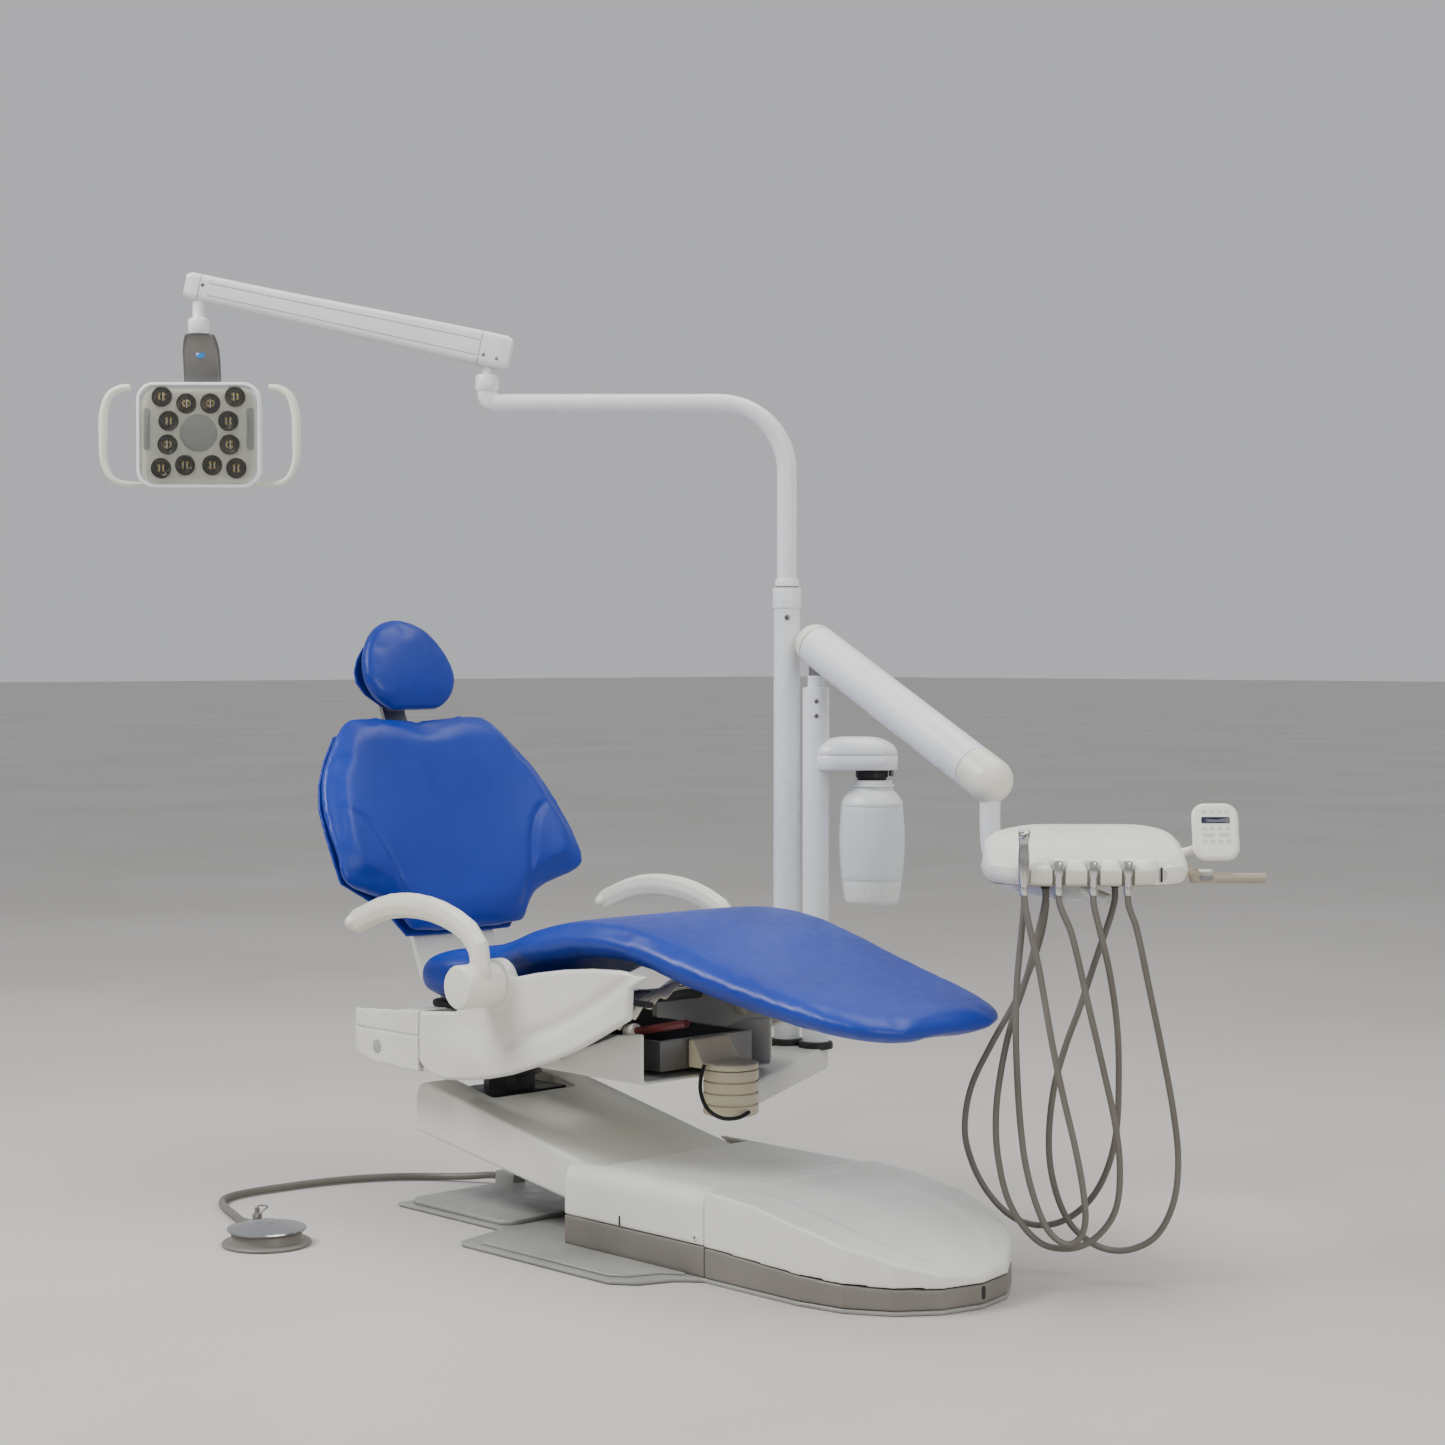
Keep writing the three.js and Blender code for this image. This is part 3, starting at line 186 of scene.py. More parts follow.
BLACK = finish("black_moulding", srgb(20, 20, 21), srgb(30, 30, 31), (0.4, 0.55), 500, 0.25)
RUBBER = finish("black_rubber", srgb(16, 16, 16), srgb(25, 25, 25), (0.6, 0.75), 300, 0.3)
DARK = finish("dark_shadow_gap", srgb(38, 37, 35), srgb(50, 48, 46), (0.6, 0.7), 300, 0.1)
STEEL = finish("satin_steel", srgb(120, 120, 120), srgb(150, 150, 149), (0.3, 0.45), 500, 0.1,
               metallic=0.9)
YOKE = finish("brushed_yoke_metal", srgb(116, 115, 112), srgb(140, 139, 136), (0.28, 0.38), 700,
              0.15, metallic=0.85)
CHROME = finish("turned_chrome", srgb(176, 176, 176), srgb(198, 198, 198), (0.08, 0.2), 500, 0.05,
                metallic=1.0, rings=900)
SHINE = finish("plated_instrument_steel", srgb(190, 190, 188), srgb(212, 212, 210), (0.1, 0.22),
               600, 0.05, metallic=1.0)
BOTTLE_MAT = finish("translucent_bottle", srgb(226, 236, 240), srgb(234, 242, 245), (0.3, 0.42),
                    300, 0.2, transmission=0.12, subsurface=0.35, scuff=0.05)
BOTTLE_WHITE = finish("milky_bottle_end", srgb(224, 228, 226), srgb(234, 236, 234), (0.3, 0.4),
                      400, 0.15, subsurface=0.2, scuff=0.05)
REFLECTOR = finish("dark_reflector", srgb(38, 34, 28), srgb(70, 60, 44), (0.12, 0.3), 900, 0.5,
                   0.001, 60, metallic=0.6)
LED = finish("amber_led", srgb(170, 140, 60), srgb(210, 180, 90), (0.3, 0.4), 900, 0.1, cloud=80)
IVORY = finish("ivory_handle", srgb(226, 224, 208), srgb(234, 232, 218), (0.3, 0.4), scuff=0.08)
# The grey of the soft pads; on the light beam the same grey is painted shade in the grooves and seam
# gaps.
GREY_PAD_AND_GROOVE_SHADE = finish("grey_soft_pad_and_groove_shade", srgb(160, 160, 155), srgb(172, 172, 167), (0.4, 0.5), 500, 0.2)
NAVY = finish("navy_display", srgb(14, 22, 48), srgb(20, 30, 62), (0.12, 0.2), 900, 0.02, cloud=30)
BUTTON = finish("pale_button", srgb(206, 205, 196), srgb(214, 213, 205), (0.35, 0.45), 700, 0.1)
SENSOR = finish("blue_sensor", srgb(30, 110, 190), srgb(50, 140, 215), (0.15, 0.25), 700, 0.05)
MAROON = finish("maroon_rod", srgb(84, 30, 30), srgb(100, 38, 36), (0.3, 0.4), 500, 0.1)
STRAP = finish("beige_strap", srgb(196, 188, 168), srgb(210, 202, 184), (0.5, 0.65), 300, 0.35)
COVER_GLASS = finish("clear_light_cover", srgb(238, 240, 238), srgb(246, 247, 246), (0.04, 0.1),
                     900, 0.02, transmission=1.0, scuff=0.02)
FLOOR = finish("pale_floor", srgb(196, 192, 186), srgb(206, 202, 197), (0.5, 0.6), 60, 0.05,
               0.001, 0.6, scuff=0.05)

# ---------------------------------------------------------------- mesh helpers


def placed(shape, place):
    """A shape in millimetres as metre points in the world."""
    points, faces = shape
    return [place @ (Vector(p) * MM) for p in points], faces


def shade(mesh, angle=40):
    """Smooth shading with the edges over an angle kept sharp."""
    limit = math.radians(angle)
    work = bmesh.new()
    work.from_mesh(mesh)
    for face in work.faces:
        face.smooth = True
    for edge in work.edges:
        edge.smooth = len(edge.link_faces) != 2 or edge.calc_face_angle(0) < limit
    work.to_mesh(mesh)
    work.free()


def solid(name, points, faces):
    """A linked object from metre points, its faces turned outwards."""
    mesh = bpy.data.meshes.new(name)
    mesh.from_pydata(points, [], faces)
    mesh.update()
    work = bmesh.new()
    work.from_mesh(mesh)
    bmesh.ops.recalc_face_normals(work, faces=work.faces)
    work.to_mesh(mesh)
    work.free()
    made = bpy.data.objects.new(name, mesh)
    SCENE.collection.objects.link(made)
    return made


def add(name, shape, body, material, place=WORLD, stands_for=(), bevel=0, angle=40):
    """A piece from (vertices, faces) in millimetres, placed in a local frame and riding on a body."""
    made = solid(name, *placed(shape, place))
    if bevel:
        edge = made.modifiers.new("bevel", "BEVEL")
        edge.width = bevel * MM
        edge.segments = 3
        edge.limit_method = "ANGLE"
        edge.angle_limit = math.radians(35)
        edge.harden_normals = False
        bake(made)
    shade(made.data, angle)
    own(made, body, material, stands_for)
    return made


def own(made, body, material, stands_for=()):
    """The piece's material, body and the CAD nodes it stands for."""
    made.data.materials.clear()
    made.data.materials.append(material)
    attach(made, body)
    if stands_for:
        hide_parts(*stands_for)


def bake(made):
    """Applies a piece's modifiers to its mesh."""
    graph = bpy.context.evaluated_depsgraph_get()
    graph.update()
    mesh = bpy.data.meshes.new_from_object(made.evaluated_get(graph))
    made.modifiers.clear()
    made.data = mesh


def lathe(profile, sides=64, centre=(0, 0), ribs=None):
    """A turned solid from (radius, height) pairs; ribs(angle, height) scales its radius."""
    points, faces = [], []
    rings = []
    for radius, height in profile:
        if radius <= 0:
            rings.append([len(points)])
            points.append((centre[0], centre[1], height))
            continue
        ring = []
        for k in range(sides):
            a = 2 * math.pi * k / sides
            r = radius * (ribs(a, height) if ribs else 1)
            ring.append(len(points))
            points.append((centre[0] + r * math.cos(a), centre[1] + r * math.sin(a), height))
        rings.append(ring)
    for low, high in zip(rings, rings[1:]):
        for k in range(sides):
            n = (k + 1) % sides
            if len(low) == 1:
                faces.append((low[0], high[n], high[k]))
            elif len(high) == 1:
                faces.append((low[k], low[n], high[0]))
            else:
                faces.append((low[k], low[n], high[n], high[k]))
    return points, faces


def loft(rings):
    """A closed solid through equal rings of points, its ends closed by fans."""
    points = [p for ring in rings for p in ring]
    n = len(rings[0])
    faces = [
        (i * n + k, i * n + (k + 1) % n, (i + 1) * n + (k + 1) % n, (i + 1) * n + k)
        for i in range(len(rings) - 1) for k in range(n)
    ]
    for i in (0, len(rings) - 1):
        middle = len(points)
        ring = rings[i]
        points.append(tuple(sum(p[a] for p in ring) / n for a in range(3)))
        faces += [(middle, i * n + k, i * n + (k + 1) % n) for k in range(n)]
    return points, faces


def extrude(outline, low, high):
    """A prism over an outline in the local XY plane."""
    n = len(outline)
    points = [(x, y, low) for x, y in outline] + [(x, y, high) for x, y in outline]
    faces = [(k, (k + 1) % n, n + (k + 1) % n, n + k) for k in range(n)]
    faces += [tuple(range(n)), tuple(range(n, 2 * n))]
    return points, faces


def rounded(half_x, half_y, radius, steps=8, cx=0, cy=0):
    """A rectangle with round corners, centred at cx, cy."""
    out = []
    for qx, qy, start in ((1, 1, 0), (-1, 1, 90), (-1, -1, 180), (1, -1, 270)):
        for k in range(steps + 1):
            a = math.radians(start + 90 * k / steps)
            out.append((cx + qx * (half_x - radius) + radius * math.cos(a),
                        cy + qy * (half_y - radius) + radius * math.sin(a)))
    return out


def bent(value, power):
    """A power that keeps the sign: below 1 it squares a circle's corners up."""
    return math.copysign(abs(value) ** power, value)


def superellipse(half_x, half_y, power, steps=96, cx=0, cy=0):
    """An oval that is squarer for a lower power, centred at cx, cy."""
    angles = [2 * math.pi * k / steps for k in range(steps)]
    return [(cx + half_x * bent(math.cos(a), power), cy + half_y * bent(math.sin(a), power))
            for a in angles]


def along(stations, at):
    """Smooth value between (position, value) stations."""
    xs = [s[0] for s in stations]
    if at <= xs[0]:
        return stations[0][1]
    if at >= xs[-1]:
        return stations[-1][1]
    i = max(k for k in range(len(xs) - 1) if xs[k] <= at)
    t = (at - xs[i]) / (xs[i + 1] - xs[i])
    p1, p2 = stations[i][1], stations[i + 1][1]
    gap = xs[i + 1] - xs[i]
    m1 = (p2 - p1) / gap if i == 0 else (p2 - stations[i - 1][1]) / (xs[i + 1] - xs[i - 1])
    m2 = (p2 - p1) / gap if i + 2 >= len(xs) else (stations[i + 2][1] - p1) / (xs[i + 2] - xs[i])
    a, b = 2 * t ** 3 - 3 * t ** 2 + 1, t ** 3 - 2 * t ** 2 + t
    c, d = -2 * t ** 3 + 3 * t ** 2, t ** 3 - t ** 2
    return a * p1 + b * gap * m1 + c * p2 + d * gap * m2


def catmull(points, spacing):
    """Points along the centripetal Catmull-Rom curve through the given ones."""
    pts = [Vector(p) for p in points]
    pts = [2 * pts[0] - pts[1]] + pts + [2 * pts[-1] - pts[-2]]
    out = [pts[1].copy()]
    for i in range(1, len(pts) - 2):
        p0, p1, p2, p3 = pts[i - 1:i + 3]
        t0 = 0
        t1 = t0 + (p1 - p0).length ** 0.5
        t2 = t1 + (p2 - p1).length ** 0.5
        t3 = t2 + (p3 - p2).length ** 0.5
        count = max(1, round((p2 - p1).length / spacing))
        for k in range(1, count + 1):
            t = t1 + (t2 - t1) * k / count
            a1 = p0 * ((t1 - t) / (t1 - t0)) + p1 * ((t - t0) / (t1 - t0))
            a2 = p1 * ((t2 - t) / (t2 - t1)) + p2 * ((t - t1) / (t2 - t1))
            a3 = p2 * ((t3 - t) / (t3 - t2)) + p3 * ((t - t2) / (t3 - t2))
            b1 = a1 * ((t2 - t) / (t2 - t0)) + a2 * ((t - t0) / (t2 - t0))
            b2 = a2 * ((t3 - t) / (t3 - t1)) + a3 * ((t - t1) / (t3 - t1))
            out.append(b1 * ((t2 - t) / (t2 - t1)) + b2 * ((t - t1) / (t2 - t1)))
    return out


def tube(route, radius, sides=24, spacing=8, flat=1.0, taper=None):
    """A round or oval bar along a smooth route in millimetres; taper(t) scales it."""
    line = catmull(route, spacing)
    rings = []
    across = None
    for i, p in enumerate(line):
        ahead = (line[min(i + 1, len(line) - 1)] - line[max(i - 1, 0)]).normalized()
        if across is None:
            across = ahead.orthogonal().normalized() if abs(ahead.z) > 0.9 else \
                ahead.cross(Vector((0, 0, 1))).normalized()
        across = (across - ahead * across.dot(ahead)).normalized()
        up = ahead.cross(across)
        r = radius * (taper(i / (len(line) - 1)) if taper else 1)
        rings.append([
            p + across * (r * math.cos(2 * math.pi * k / sides))
            + up * (r * flat * math.sin(2 * math.pi * k / sides))
            for k in range(sides)
        ])
    return loft(rings)


def moved(shape, matrix):
    """The shape placed by a matrix whose shift is in millimetres."""
    return [matrix @ Vector(p) for p in shape[0]], shape[1]


def joined(*shapes):
    """Several shapes as one."""
    points, faces = [], []
    for some, sides in shapes:
        start = len(points)
        points += [tuple(p) for p in some]
        faces += [tuple(start + k for k in face) for face in sides]
    return points, faces


def facing(x, y, z, axis):
    """A frame at a point whose Z runs along the axis, in millimetres."""
    turn = Vector((0, 0, 1)).rotation_difference(Vector(axis)).to_matrix().to_4x4()
    return Matrix.Translation((x, y, z)) @ turn


def remesh(made, voxel, passes):
    """Even cells of a voxel's size over a piece, its edges softened by smoothing passes."""
    cells = made.modifiers.new("cells", "REMESH")
    cells.mode = "VOXEL"
    cells.voxel_size = voxel * MM
    soft = made.modifiers.new("soft", "SMOOTH")
    soft.factor = 0.5
    soft.iterations = passes
    bake(made)


def refine(node, body, material, voxel=3.0, passes=8, sculpt=None):
    """A finer, soft-edged skin over a CAD node's own shape."""
    made = bpy.data.objects.new(node + "_skin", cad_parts[node].data.copy())
    SCENE.collection.objects.link(made)
    remesh(made, voxel, passes)
    if sculpt:
        normals = [v.normal.copy() for v in made.data.vertices]
        for v, normal in zip(made.data.vertices, normals):
            v.co += Vector(sculpt(v.co / MM, normal)) * MM
    for face in made.data.polygons:
        face.use_smooth = True
    own(made, body, material, (node,))
    return made


def keep(node, material):
    """A CAD node that stays in view, in a procedural material."""
    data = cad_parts[node].data
    data.materials.clear()
    data.materials.append(material)


def bump(t):
    """A soft hill that is 1 at 0 and 0 beyond 1."""
    return (1 - t * t) ** 2 if abs(t) < 1 else 0.0


def step(t):
    """A smooth rise from 0 at 0 to 1 at 1."""
    t = min(max(t, 0), 1)
    return t * t * (3 - 2 * t)


# ---------------------------------------------------------------- hoses


def hose(name, route, diameter, place, body, exit_first):
    """A free hose: one open smooth curve through the route's points."""
    pts = [place @ (Vector(p) * MM) for p in route]
    data = bpy.data.curves.new(name, "CURVE")
    data.dimensions = "3D"
    data.bevel_depth = diameter / 2 * MM
    data.bevel_resolution = 6
    data.resolution_u = 10
    data.use_fill_caps = True
    spline = data.splines.new("BEZIER")
    spline.bezier_points.add(len(pts) - 1)
    smooth = catmull([p / MM for p in pts], 3)
    length = sum((b - a).length for a, b in zip(smooth, smooth[1:])) * MM
    for k, spot in enumerate(spline.bezier_points):
        spot.co = pts[k]
        before, after = pts[max(k - 1, 0)], pts[min(k + 1, len(pts) - 1)]
        ahead = (after - before).normalized()
        spot.handle_left_type = spot.handle_right_type = "FREE"
        spot.handle_left = pts[k] - ahead * (pts[k] - before).length / 3
        spot.handle_right = pts[k] + ahead * (after - pts[k]).length / 3
    made = bpy.data.objects.new(name, data)
    SCENE.collection.objects.link(made)
    own(made, body, HOSE)
    return made, pts[0] if exit_first else pts[-1], length


FOOT_HOSE = [
    (-661.2, 61, 20), (-678, 60.5, 19.5), (-700, 56, 17), (-735, 40, 12), (-790, 8, 8),
    (-845, -48, 8), (-885, -120, 8), (-908, -200, 8), (-918, -285, 8), (-920, -350, 8),
    (-908, -408, 8), (-872, -446, 8), (-820, -470, 8), (-760, -492, 8), (-706, -512, 9),
    (-676, -521, 12), (-662, -523, 12.8), (-648.2, -523, 13),
]
HOSE_Y = -117
HOSES = {
    1: [(-114, HOSE_Y, 667.6), (-112, HOSE_Y, 640), (-104, -117, 600), (-89, -116, 535),
        (-66, -115, 407), (-48, -113, 323), (-26, -110, 231), (-12, -108, 152), (-12, -106, 100),
        (-34, -104, 75), (-66, -102, 92), (-90, -100, 140), (-108, -98, 208), (-117, -96, 280),
        (-122, -94, 361), (-124, -93, 434), (-122, -92, 510), (-115, -92, 590), (-111, -92, 636),
        (-111, -92, 661.6)],
    2: [(-57, HOSE_Y, 667.6), (-55, HOSE_Y, 640), (-35, -114, 591), (-7, -108, 476),
        (21, -101, 361), (42, -94, 267), (50, -88, 190), (42, -84, 124), (8, -80, 78),
        (-35, -78, 62), (-84, -77, 74), (-130, -75, 134), (-151, -73, 215), (-154, -71, 290),
        (-144, -70, 369), (-127, -69, 443), (-104, -68, 512), (-84, -68, 590), (-73, -68, 640),
        (-73, -68, 661.6)],
    3: [(0, HOSE_Y, 667.6), (1, HOSE_Y, 640), (11, -112, 600), (31, -96, 522), (47, -72, 430),
        (54, -44, 338), (54, -16, 244), (40, 6, 172), (12, 24, 118), (-28, 38, 84),
        (-70, 50, 74), (-112, 62, 86), (-150, 72, 122), (-178, 80, 172), (-192, 84, 231),
        (-182, 80, 305), (-150, 66, 379), (-112, 44, 455), (-90, 22, 510), (-73, -8, 575),
        (-66, -19, 625), (-66, -20, 661.6)],
    4: [(57, HOSE_Y, 667.6), (58, HOSE_Y, 640), (72, -114, 600), (95, -104, 499),
        (119, -92, 392), (140, -78, 290), (150, -68, 208), (144, -60, 136), (118, -54, 80),
        (80, -50, 56), (40, -47, 53), (4, -46, 68), (-30, -46, 102), (-54, -46, 162),
        (-63, -46, 231), (-55, -46, 323), (-35, -46, 397), (-12, -46, 460), (16, -46, 545),
        (38, -46, 610), (46, -46, 642), (46, -46, 661.6)],
}

foot_line, foot_exit, foot_length = hose("foot_control_hose", FOOT_HOSE, 14, WORLD, "base", True)
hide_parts("foot_hose")
hose_lines = {}
for number, route in HOSES.items():
    made, spot, length = hose(f"instrument_hose_{number}", route, 11, HEAD, "control_head", False)
    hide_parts(f"hose_{number}")
    hose_lines[number] = (made, spot, length)

# ---------------------------------------------------------------- cushions

SEAT_TOP = [
    (-586, 456), (-570, 484), (-520, 493), (-440, 502), (-360, 522), (-276, 546), (-150, 574),
    (-50, 584), (50, 578), (150, 558), (250, 532), (380, 500), (500, 474), (560, 462), (592, 452),
]
SEAT_BOTTOM = [
    (-586, 410), (-570, 399), (-470, 399), (-400, 433), (-279, 484), (-134, 517), (27, 522),
    (183, 488), (359, 452), (491, 433), (560, 426), (592, 430),
]
SEAT_WIDTH = [
    (-586, 184), (-570, 212), (-500, 224), (-420, 206), (-330, 214), (-250, 240), (-100, 250),
    (60, 250), (220, 240), (400, 218), (500, 196), (560, 160), (592, 100),
]
BACK_WIDTH = [
    (85, 128), (100, 150), (130, 172), (157, 198), (172, 236), (190, 288), (212, 309), (260, 309),
    (320, 305), (369, 298), (434, 274), (492, 234), (540, 196), (561, 150),
]
HEADREST_WIDTH = [
    (0, 66), (0.1, 92), (0.3, 114), (0.5, 112), (0.7, 96), (0.85, 74), (0.95, 50), (1, 26),
]


def soft_section(half_width, half_depth, power_across, power_deep, count):
    """A soft-cornered section of a cushion, as (across, deep) pairs."""
    angles = [2 * math.pi * k / count for k in range(count)]
    return [(half_width * bent(math.cos(a), power_across), half_depth * bent(math.sin(a), power_deep))
            for a in angles]


def seat_form(inset):
    """The seat and leg rest in one, from its head end to its toe end."""
    start, length, sections = -584, 1174, 98
    rings = []
    for k in range(sections + 1):
        x = start + inset + (length - 2 * inset) * k / sections
        width = along(SEAT_WIDTH, x) - inset
        low, high = along(SEAT_BOTTOM, x) + inset, along(SEAT_TOP, x) - inset
        middle, half = (low + high) / 2, (high - low) / 2
        # The sides roll under, so the lower half is narrower than the top.
        rings.append([(x, y * (1 - 0.05 * step(-z / half)), middle + z)
                      for y, z in soft_section(width, half, 0.34, 0.5, 72)])
    return loft(rings)


def wrap(u, y):
    """How far the back's surface comes forward at its sides."""
    return (14 + 44 * math.exp(-((u - 215) / 150) ** 2)) * (abs(y) / 310) ** 2


def back_form(inset):
    """The back cushion, from its lower edge to the notch for the neck."""
    start, length, sections = 87, 472, 80
    rings = []
    for k in range(sections + 1):
        u = start + inset + (length - 2 * inset) * k / sections
        width = along(BACK_WIDTH, u) - inset
        half = (28 - inset) * (0.45 + 0.55 * min(1, math.sin(math.pi * k / sections) * 2.6))
        ring = []
        for y, w in soft_section(width, half, 0.75, 0.7, 72):
            notch = 26 * bump(y / 105) * step((u - 430) / 130)
            ring.append((-42 + wrap(u, y) + w, y, u - notch))
        rings.append(ring)
    return loft(rings)


def headrest_form(inset):
    """The headrest cushion, narrow at its top and a little hollow across."""
    start, length, sections = 555, 201, 48
    rings = []
    for k in range(sections + 1):
        t = k / sections
        width = along(HEADREST_WIDTH, t) - inset
        half = (34 - inset) * (0.35 + 0.65 * min(1, math.sin(math.pi * t) * 2.2))
        u = start + inset + (length - 2 * inset) * t
        rings.append([(-36 + 9 * (y / 114) ** 2 + w, y, u)
                      for y, w in soft_section(width, half, 0.8, 0.75, 56)])
    return loft(rings)


CLOTH_PRESSURE = 4.0
CLOTH_FRAMES = 20


def inflate(shape, name, place, voxel, cap, body, node):
    """A padded cushion: remeshed, blown up by a cloth run to at most cap, and smoothed."""
    made = add(name, shape, body, VINYL, place, (node,))
    # It rides on its body again once its shape is finished.
    made.parent = None
    remesh(made, voxel, 6)
    start = [v.co.copy() for v in made.data.vertices]
    cloth = made.modifiers.new("Cloth", "CLOTH")
    cloth.settings.quality = 5
    cloth.settings.mass = 0.3
    cloth.settings.tension_stiffness = 30
    cloth.settings.compression_stiffness = 30
    cloth.settings.bending_stiffness = 2
    cloth.settings.use_pressure = True
    cloth.settings.uniform_pressure_force = CLOTH_PRESSURE
    cloth.settings.effector_weights.gravity = 0
    for moment in range(1, CLOTH_FRAMES + 1):
        SCENE.frame_set(moment)
    blown = made.evaluated_get(bpy.context.evaluated_depsgraph_get()).data
    ends = [v.co.copy() for v in blown.vertices]
    made.modifiers.clear()
    for v, a, b in zip(made.data.vertices, start, ends):
        shift = b - a
        v.co = a + shift * min(1, cap * MM / max(shift.length, 1e-9))
    SCENE.frame_set(1)
    soft = made.modifiers.new("soft", "SMOOTH")
    soft.factor = 0.5
    soft.iterations = 12
    made.modifiers.new("subdivision", "SUBSURF").levels = 1
    made.modifiers["subdivision"].render_levels = 1
    bake(made)
    for face in made.data.polygons:
        face.use_smooth = True
    own(made, body, VINYL, (node,))
    return made


def groove(made, place, lines, width, depth, front):
    """Presses soft crease lines, given as (y, u) runs, into a cushion's points ahead of front."""
    back = place.inverted()
    runs = [catmull([(y, u, 0) for y, u in line], 6) for line in lines]
    for v in made.data.vertices:
        p = (back @ v.co) / MM
        if p.x < front:
            continue
        spot = Vector((p.y, p.z, 0))
        near = 1e9
        fade = 1
        for run in runs:
            for i, q in enumerate(run):
                d = (q - spot).length
                if d < near:
                    near = d
                    t = i / (len(run) - 1)
                    fade = step(min(t, 1 - t) * 5)
        if near < width * 2:
            dent = depth * math.exp(-(near / width) ** 2) * fade
            v.co -= place.to_3x3() @ Vector((dent * MM, 0, 0))


inflate(seat_form(4), "seat_pad", WORLD, 6, 9, "seat", "seat_cushion")
back_pad = inflate(back_form(5), "back_pad", BACK, 6, 10, "back", "back_cushion")
inflate(headrest_form(5), "headrest_pad", BACK, 5, 10, "headrest", "headrest_cushion")
SIDE_CREASE = [(262, 345), (236, 338), (206, 312), (184, 272), (168, 222), (150, 172), (128, 132),
               (98, 110)]
groove(back_pad, BACK, [SIDE_CREASE, [(-y, u) for y, u in SIDE_CREASE]], 8, 4.5, -45)

# ---------------------------------------------------------------- base

refine("base_plate", "base", WING, 3, 4)
for side in ("middle", "toe"):
    refine(side + "_skirt", "base", SKIRT, 3, 5)


def toe_sculpt(p, n):
    """Sinks the toe cover's flat top a little inside a soft border."""
    edge = 155 if p.x < 430 else 155 * math.sqrt(max(0, 1 - ((p.x - 430) / 220) ** 2))
    inside = step((edge - 18 - abs(p.y)) / 26) * step((p.x - 226) / 16) * step((640 - p.x) / 60)
    return (0, 0, -3.2 * inside if n.z > 0.3 else 0)


refine("toe_cover", "base", CREAM, 3, 9, toe_sculpt)
refine("middle_cover", "base", CREAM, 3, 7)
refine("lift_cover", "lift_arm", CREAM, 3, 8)
for node in ("pump_unit", "pivot_frame", "lift_frame", "lift_link", "seat_frame"):
    keep(node, STEEL)
keep("carriage", BLACK)

plate_pad = extrude(rounded(150, 190, 30, cx=-480, cy=0), 7, 17)
add("plate_ridge", plate_pad, "base", WING, bevel=4)
for y in (-1, 1):
    for x in (-628, -352):
        dot = lathe([(0, 7), (7, 7), (7, 10), (5, 11.5), (0, 11.5)], 24, (x, y * 168))
        add(f"plate_plug_{x + 700}_{y + 1}", dot, "base", BLACK)
    wing = extrude([(x, y * v) for x, v in [(-270, 212), (-262, 300), (-248, 314), (90, 314),
                                            (118, 296), (140, 240), (176, 212)]], 7, 13)
    add(f"wing_rise_{y + 1}", wing, "base", WING, bevel=3)


def screw(name, body, place, radius, material=STEEL):
    """A domed screw head with a cross slot, its axis along the frame's Z."""
    head = 2.2
    dome = lathe([(0, -3), (radius, -3), (radius, head * 0.4), (radius * 0.7, head * 0.85),
                  (radius * 0.3, head), (0, head)], 28)
    add(name, moved(dome, place), body, material)
    arm = radius * 0.55
    bars = joined(extrude(rounded(arm, radius * 0.11, radius * 0.1, 2), head * 0.5, head + 0.25),
                  extrude(rounded(radius * 0.11, arm, radius * 0.1, 2), head * 0.5, head + 0.25))
    add(name + "_slot", moved(bars, place), body, DARK)


for y in (-1, 1):
    out = (0, y, 0)
    screw(f"cover_screw_{y + 1}", "base", facing(190, y * 205, 74, out), 6.5, CREAM)
    notch = extrude(rounded(2, 9, 1.9, 6), -3, 0.8)
    add(f"cover_slot_{y + 1}", moved(notch, facing(-2, y * 205, 72, out)), "base", DARK,
        bevel=0.3)
cap = extrude(rounded(11, 4.5, 4, 6), -6, 2)
add("toe_cap", moved(cap, facing(648, 0, 26, (1, 0, 0))), "base", BLACK,
    bevel=0.8)

# ---------------------------------------------------------------- foot control

base_ring = [(0, 0), (66, 0), (79, 1), (79.5, 4), (77, 6.5), (66, 8), (64, 13), (62, 22),
             (60, 24), (0, 24)]
add("foot_ring", lathe(base_ring, 96), "base", SKIRT, FOOT, ("foot_base",))
disc = [(0, 24.3), (60, 24.3), (69, 25.5), (71, 28), (70, 30.5), (64, 32.5), (60, 33), (56, 34.5),
        (30, 39.5), (24, 40), (22, 41.5), (18, 42.6), (0, 43)]
add("foot_cone", lathe(disc, 120), "foot_pedal", CHROME, FOOT, ("foot_disc",))
peg = [(0, 4), (9, 4), (9, 30), (8, 34), (5, 36), (4.5, 45), (0, 46)]
add("foot_peg", lathe(peg, 32, (-96, 44)), "base", SKIRT, FOOT)
socket = tube([(-98, 44, 13), (-85, 36, 12), (-70, 28, 11), (-58, 22, 11)], 11, 28, 4, 0.75)
add("foot_socket", socket, "base", SKIRT, FOOT)
loop = tube([(-96, 44, 40), (-104, 52, 45.5), (-97, 62, 45.5), (-84, 58, 45), (-80, 44, 40),
             (-84, 34, 30), (-78, 22, 26.5)], 1.6, 12, 3)
add("foot_wire_loop", loop, "base", STEEL, FOOT)
socket = tube([(-640, 61, 20), (-655, 61, 20), (-669, 61, 19.8)], 10.5, 28, 3,
              taper=lambda t: 1 - 0.25 * t)
add("foot_hose_relief", socket, "base", BLACK)

# ---------------------------------------------------------------- seat unit

